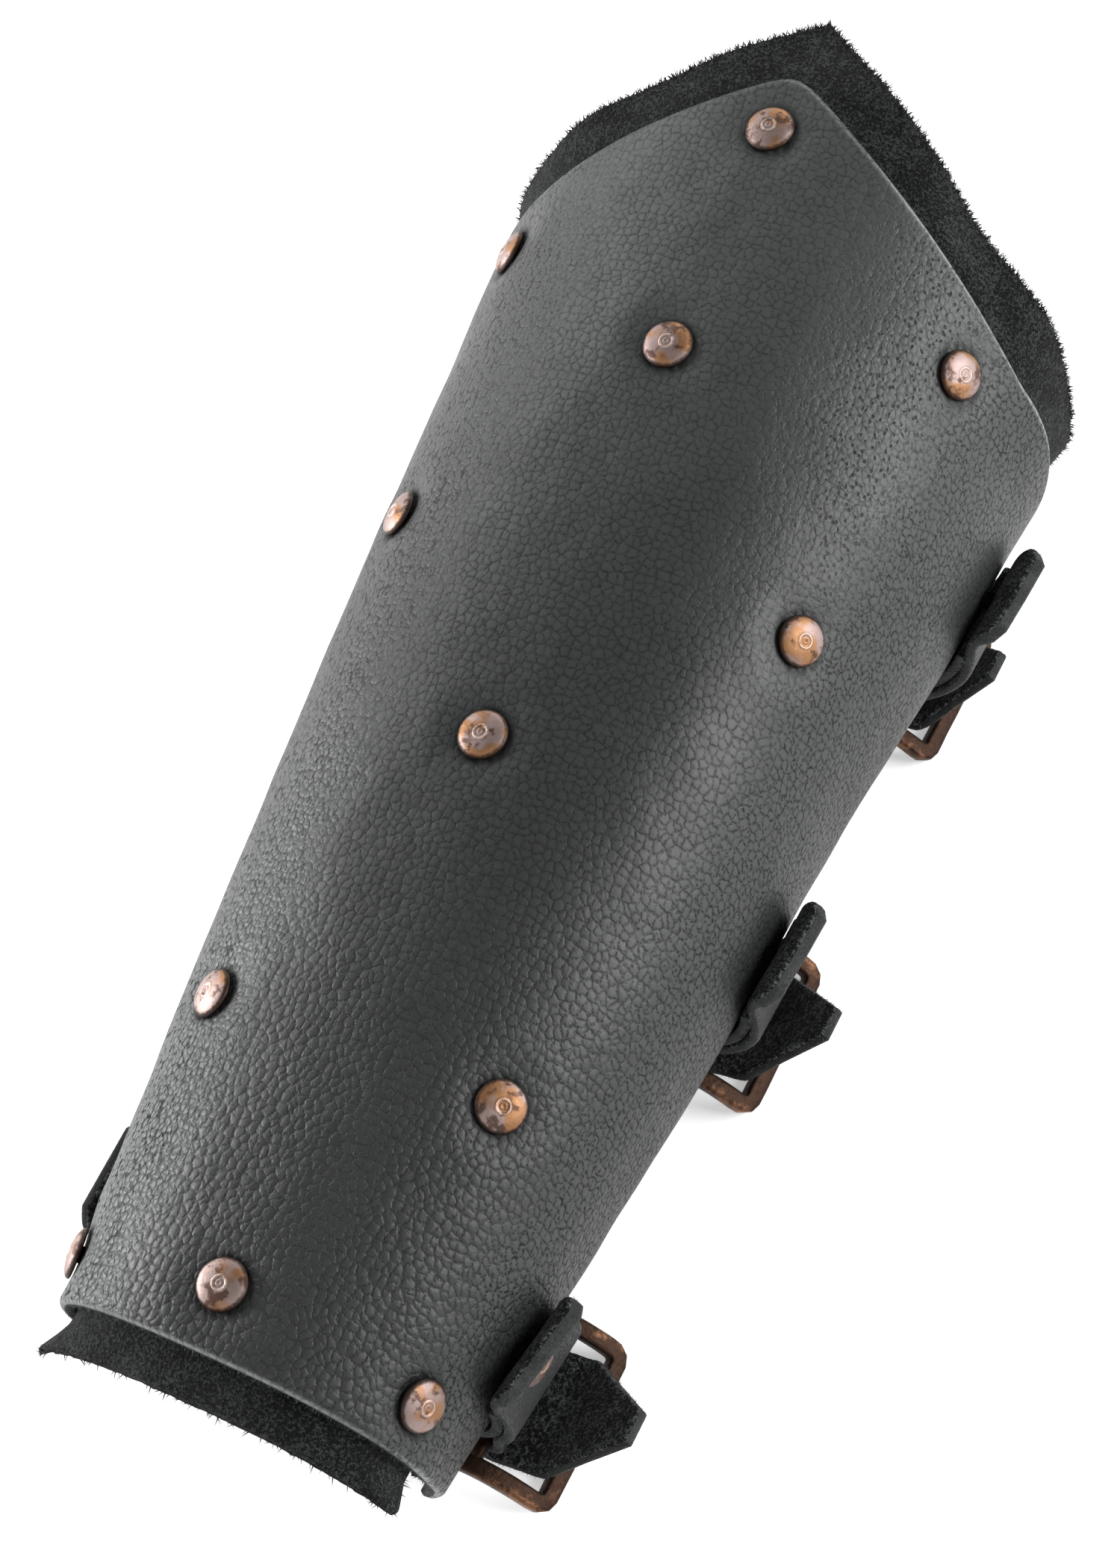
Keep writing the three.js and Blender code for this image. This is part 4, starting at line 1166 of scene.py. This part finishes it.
# Node trees for what repeats
class Tree:
    """A geometry tree with named inputs."""

    def __init__(self, name, inputs):
        self.group = bpy.data.node_groups.new(name, "GeometryNodeTree")
        self.group.interface.new_socket("Geometry", in_out="INPUT", socket_type="NodeSocketGeometry")
        self.sockets = {}
        for label, (kind, value) in inputs.items():
            socket = self.group.interface.new_socket(label, in_out="INPUT", socket_type=kind)
            if value is not None:
                socket.default_value = value
            self.sockets[label] = socket.identifier
        self.group.interface.new_socket("Geometry", in_out="OUTPUT", socket_type="NodeSocketGeometry")
        self.given = self.group.nodes.new("NodeGroupInput")
        self.end = self.group.nodes.new("NodeGroupOutput")

    def node(self, kind, settings=None, inputs=None):
        made = self.group.nodes.new(kind)
        for key, value in (settings or {}).items():
            setattr(made, key, value)
        for key, value in (inputs or {}).items():
            if isinstance(value, bpy.types.NodeSocket):
                self.group.links.new(value, made.inputs[key])
            else:
                made.inputs[key].default_value = value
        return made

    def spun(self, rotation, lean):
        """The rotation leant over at random, by up to `lean` radians, and spun about its Z axis."""
        inputs = {"Min": (-lean, -lean, 0.0), "Max": (lean, lean, 6.283), "Seed": self.given.outputs["Seed"]}
        spin = self.node("FunctionNodeRandomValue", {"data_type": "FLOAT_VECTOR"}, inputs)
        inputs = {"Rotation": rotation, "Rotate By": spin.outputs[0]}
        return self.node("FunctionNodeRotateEuler", {"space": "LOCAL"}, inputs)

    def placed(self, points, one, turn, scale):
        """Ends the tree: one shape set on points, made real and given the Material input."""
        inputs = {"Points": points, "Instance": one, "Rotation": turn.outputs[0], "Scale": scale}
        copies = self.node("GeometryNodeInstanceOnPoints", None, inputs)
        real = self.node("GeometryNodeRealizeInstances", None, {"Geometry": copies.outputs["Instances"]})
        inputs = {"Geometry": real.outputs["Geometry"], "Material": self.given.outputs["Material"]}
        dressed = self.node("GeometryNodeSetMaterial", None, inputs)
        self.group.links.new(dressed.outputs["Geometry"], self.end.inputs[0])
        return self

    def run(self, piece, values, name):
        """Runs the tree on a piece and returns the result as a plain mesh object."""
        modifier = piece.modifiers.new("tree", "NODES")
        modifier.node_group = self.group
        for label, value in values.items():
            modifier[self.sockets[label]] = value
        seen = piece.evaluated_get(bpy.context.evaluated_depsgraph_get())
        mesh = bpy.data.meshes.new_from_object(seen)
        mesh.name = name
        piece.modifiers.remove(modifier)
        return add_object(name, mesh)


def nap_tree():
    """Short fibres that stand on the cut edges of the leather."""
    tree = Tree("edge_nap", {
        "Density": ("NodeSocketFloat", 4.0e6),
        "Length": ("NodeSocketFloat", 0.0007),
        "Radius": ("NodeSocketFloat", 0.00004),
        "Seed": ("NodeSocketInt", 1),
        "Material": ("NodeSocketMaterial", None),
    })
    given = tree.given.outputs
    edge = tree.node("GeometryNodeInputNamedAttribute", {"data_type": "FLOAT"}, {"Name": "cut_edge"})
    inputs = {0: edge.outputs["Attribute"], 1: given["Density"]}
    share = tree.node("ShaderNodeMath", {"operation": "MULTIPLY"}, inputs)
    spread = tree.node("GeometryNodeDistributePointsOnFaces", None, {
        "Mesh": given["Geometry"], "Density": share.outputs[0], "Seed": given["Seed"]})
    hair = tree.node("GeometryNodeMeshCone", {"fill_type": "NONE"}, {
        "Vertices": 3, "Radius Top": 0.0, "Radius Bottom": given["Radius"], "Depth": given["Length"]})
    turn = tree.spun(spread.outputs["Rotation"], 0.8)
    inputs = {2: 0.35, 3: 1.25, "Seed": given["Seed"]}
    size = tree.node("FunctionNodeRandomValue", {"data_type": "FLOAT"}, inputs)
    return tree.placed(spread.outputs["Points"], hair.outputs["Mesh"], turn, size.outputs[1])


def rivet_tree():
    """Rivets set on points, each turned to the leather's normal and by its own spin."""
    tree = Tree("set_rivets", {
        "Rivet": ("NodeSocketObject", None),
        "Scale": ("NodeSocketFloat", 1.0),
        "Seed": ("NodeSocketInt", 1),
        "Material": ("NodeSocketMaterial", None),
    })
    given = tree.given.outputs
    way = tree.node("GeometryNodeInputNamedAttribute", {"data_type": "FLOAT_VECTOR"}, {"Name": "way_out"})
    one = tree.node("GeometryNodeObjectInfo", {"transform_space": "ORIGINAL"}, {"Object": given["Rivet"]})
    turn = tree.node("FunctionNodeAlignEulerToVector", {"axis": "Z"}, {"Vector": way.outputs["Attribute"]})
    turn = tree.spun(turn.outputs[0], 0.03)
    return tree.placed(given["Geometry"], one.outputs["Geometry"], turn, given["Scale"])


def turned_shape(profile, sides):
    """A turned shape from [radius, height] pairs in mm, about its own Z axis at the origin."""
    points, faces = [], []
    for radius, height in profile:
        for k in range(sides):
            turn = 2 * math.pi * k / sides
            points.append((radius * math.cos(turn), radius * math.sin(turn), height))
    for i in range(len(profile) - 1):
        for k in range(sides):
            a, b = i * sides + k, i * sides + (k + 1) % sides
            faces.append((a, b, b + sides, a + sides))
    faces.append(tuple(range(sides))[::-1])
    faces.append(tuple((len(profile) - 1) * sides + k for k in range(sides)))
    points = np.array(points)
    wobble = 1 + 0.012 * ripple(points, 2.2, 1.0)[:, None] * np.array([1.0, 1.0, 0.0])
    return points * wobble, faces


BURR_RADIUS = 3.0
BURR_HEIGHT = 0.8
SHANK_RADIUS = 1.4
DOME_RISE = 0.74  # the dome's share of the head's height, and that of the rim under it
RIM_RISE = 0.16


def make_rivets(name, rivets, sink, tree, seed):
    """Domed heads with a peened ring, and flat burrs inside, at each of the given places."""
    grip = rivets[0].under + PLATE_THICKNESS + LAYER_GAP + LINER_THICKNESS + 2 * SEAT_GAP + 0.2
    grip -= sink
    dome = [
        (WORN_HEAD_RADIUS * math.sin(t), HEAD_HEIGHT * (RIM_RISE + DOME_RISE * math.cos(t)))
        for t in np.linspace(math.pi / 2, 0.36, 15)
    ]
    nub = [(1.38, 0.01), (1.26, 0.1), (1.12, 0.13), (0.98, 0.08), (0.86, 0.0), (0.62, -0.01)]
    nub += [(0.5, 0.07), (0.34, 0.08), (0.2, 0.02), (0.08, 0.02)]
    nub = [(radius, dome[-1][1] + rise) for radius, rise in nub]
    profile = [(0.1, -grip - BURR_HEIGHT), (2.7, -grip - BURR_HEIGHT)]
    profile += [(BURR_RADIUS, -grip - 0.55), (BURR_RADIUS, -grip), (SHANK_RADIUS, -grip)]
    profile += [(SHANK_RADIUS, -0.12), (SHANK_RADIUS, 0.05)]
    profile += [(WORN_HEAD_RADIUS * 0.9, -0.02), (WORN_HEAD_RADIUS * 0.985, 0.06)] + dome + nub
    points, faces = turned_shape(profile, RIVET_SIDES)
    one = make_object("one_rivet", points - SHIFT, faces, (copper,))
    away, height = np.hypot(points[:, 0], points[:, 1]), points[:, 2]
    groove = bell((away - 1.5) / 0.14) * 0.7
    rim = np.maximum(smooth((away / WORN_HEAD_RADIUS - 0.7) / 0.3), groove)
    # Marks painted contact shade on the head's outer rim, the groove round the nub, and everything under the
    # head.
    add_attribute(one, "rim_wear", np.where(height > -0.1, rim, 1.0))
    # Marks the shank for painted shade.
    add_attribute(one, "hidden_shank", (height < -0.1) & (height > -grip - 0.1) & (away < 2))
    add_attribute(one, "ring_wear", bell((away - 1.15) / 0.15) * 0.8 * (height > 0.5))
    fix_normals(one)
    s, y, under = np.array([(rivet.s, rivet.y, rivet.under) for rivet in rivets]).T
    places, ways = on_arm(s, y, under + SEAT_GAP - sink)
    seat = make_object("rivet_places", places, [], (copper,))
    layer = seat.data.attributes.new("way_out", "FLOAT_VECTOR", "POINT")
    layer.data.foreach_set("vector", ways.astype(np.float32).ravel())
    values = {"Rivet": one, "Scale": 1.0, "Seed": seed, "Material": copper}
    piece = tree.run(seat, values, name)
    for used in (seat, one):
        bpy.data.objects.remove(used)
    return dress(piece, "copper", *[rivet.node for rivet in rivets])


# The bracer
plate = make_plate()
liner = make_liner()
tabs = [make_tab(buckle, 11.0 + k) for k, buckle in enumerate(buckles)]
straps = [make_strap(buckle, 21.0 + k) for k, buckle in enumerate(buckles)]
for k, buckle in enumerate(buckles):
    make_frame(buckle, 31.0 + k)
    make_tongue(buckle, 41.0 + k)
rivets = rivet_tree()
# How far each kind of rivet stands in from its plain seat
PLATE_SINK, TAB_SINK, STRAP_SINK = 0.58, 0.15 + TAB_PINCH, 1.7
make_rivets("plate_rivets", plate_rivets, PLATE_SINK, rivets, 3)
make_rivets("tab_rivets", tab_rivets, TAB_SINK, rivets, 5)
make_rivets("strap_rivets", strap_rivets, STRAP_SINK, rivets, 7)
nap = nap_tree()


def add_nap(piece, name, seed, density, length, radius, finish, slot):
    """Fibres on a piece's cut edges: their number per square mm, and length and radius in mm."""
    values = {"Density": density / MM**2, "Length": length * MM, "Radius": radius * MM}
    dress(nap.run(piece, {**values, "Seed": seed, "Material": finish}, name), slot)


add_nap(liner, "liner_nap", 3, 15.0, 1.35, 0.11, dark_fibre, "suede")
add_nap(plate, "plate_nap", 4, 6.0, 0.65, 0.05, grey_fibre, "grain_leather")
for k, piece in enumerate(tabs + straps):
    add_nap(piece, piece.name + "_nap", 9 + k, 4.0, 0.6, 0.04, grey_fibre, "strap_leather")

# Floor, light and camera
FLOOR_REACH = 4.0
FLOOR_HEIGHT = -0.0004  # just under the straps, so that no two faces share a place
floor_mesh = bpy.data.meshes.new("pale_floor")
floor_corners = [
    (x * FLOOR_REACH, y * FLOOR_REACH, FLOOR_HEIGHT) for x, y in ((-1, -1), (1, -1), (1, 1), (-1, 1))
]
floor_mesh.from_pydata(floor_corners, [], [(0, 1, 2, 3)])
floor = add_object("pale_floor", floor_mesh)
paper = Finish("pale_paper", Roughness=0.9, Specular_IOR_Level=0.1)
mottle = paper.noise(paper.place(), 60, 2)
paper.set("Base Color", paper.blend(mottle, (0.90, 0.90, 0.90), (0.93, 0.93, 0.93)))
paper.shader.inputs["Emission Color"].default_value = (1, 1, 1, 1)
paper.shader.inputs["Emission Strength"].default_value = 0.4
floor_mesh.materials.append(paper.material)

TARGET = Vector((1.82, -3.04, 44.0)) * MM
CAMERA_DISTANCE = 0.5


def soft_light(name, way, distance, width, height, power):
    """An area light that looks at the bracer from the given way."""
    data = bpy.data.lights.new(name, "AREA")
    data.shape = "RECTANGLE"
    data.size = width
    data.size_y = height
    data.energy = power
    lamp = add_object(name, data)
    way = Vector(way).normalized()
    lamp.location = TARGET + way * distance
    lamp.rotation_euler = way.to_track_quat("Z", "Y").to_euler()


# Name, way, distance, width and height in metres, power in watts
soft_light("left_box", (-0.95, -0.28, 0.22), 1.1, 0.6, 0.3, 15)
soft_light("left_far_box", (-0.8, 0.34, 0.5), 1.5, 0.8, 0.8, 9)
soft_light("right_box", (0.84, 0.32, 0.46), 1.2, 0.75, 0.6, 17)
soft_light("back_box", (-0.1, 0.93, 0.36), 1.3, 1.0, 0.3, 8)
soft_light("front_box", (0.2, -0.85, 0.6), 1.6, 1.4, 0.8, 7)

world = bpy.data.worlds.new("studio")
bpy.context.scene.world = world
world.use_nodes = True
world.node_tree.nodes["Background"].inputs["Color"].default_value = (1, 1, 1, 1)
world.node_tree.nodes["Background"].inputs["Strength"].default_value = 0.28
bpy.context.scene.view_settings.view_transform = "Standard"

camera_data = bpy.data.cameras.new("camera")
camera_data.sensor_fit = "VERTICAL"
camera_data.sensor_height = 36
camera_data.lens = 68.57
camera_data.clip_start = 0.01
camera_data.clip_end = 20
camera = add_object("camera", camera_data)
right = Vector((0.876, 0.451, -0.172)).normalized()
back = Vector((0.377, -0.417, 0.827)).normalized()
up = back.cross(right).normalized()
right = up.cross(back).normalized()
turn = Matrix((right, up, back)).transposed()
camera.matrix_world = Matrix.Translation(TARGET + back * CAMERA_DISTANCE) @ turn.to_4x4()
bpy.context.scene.camera = camera
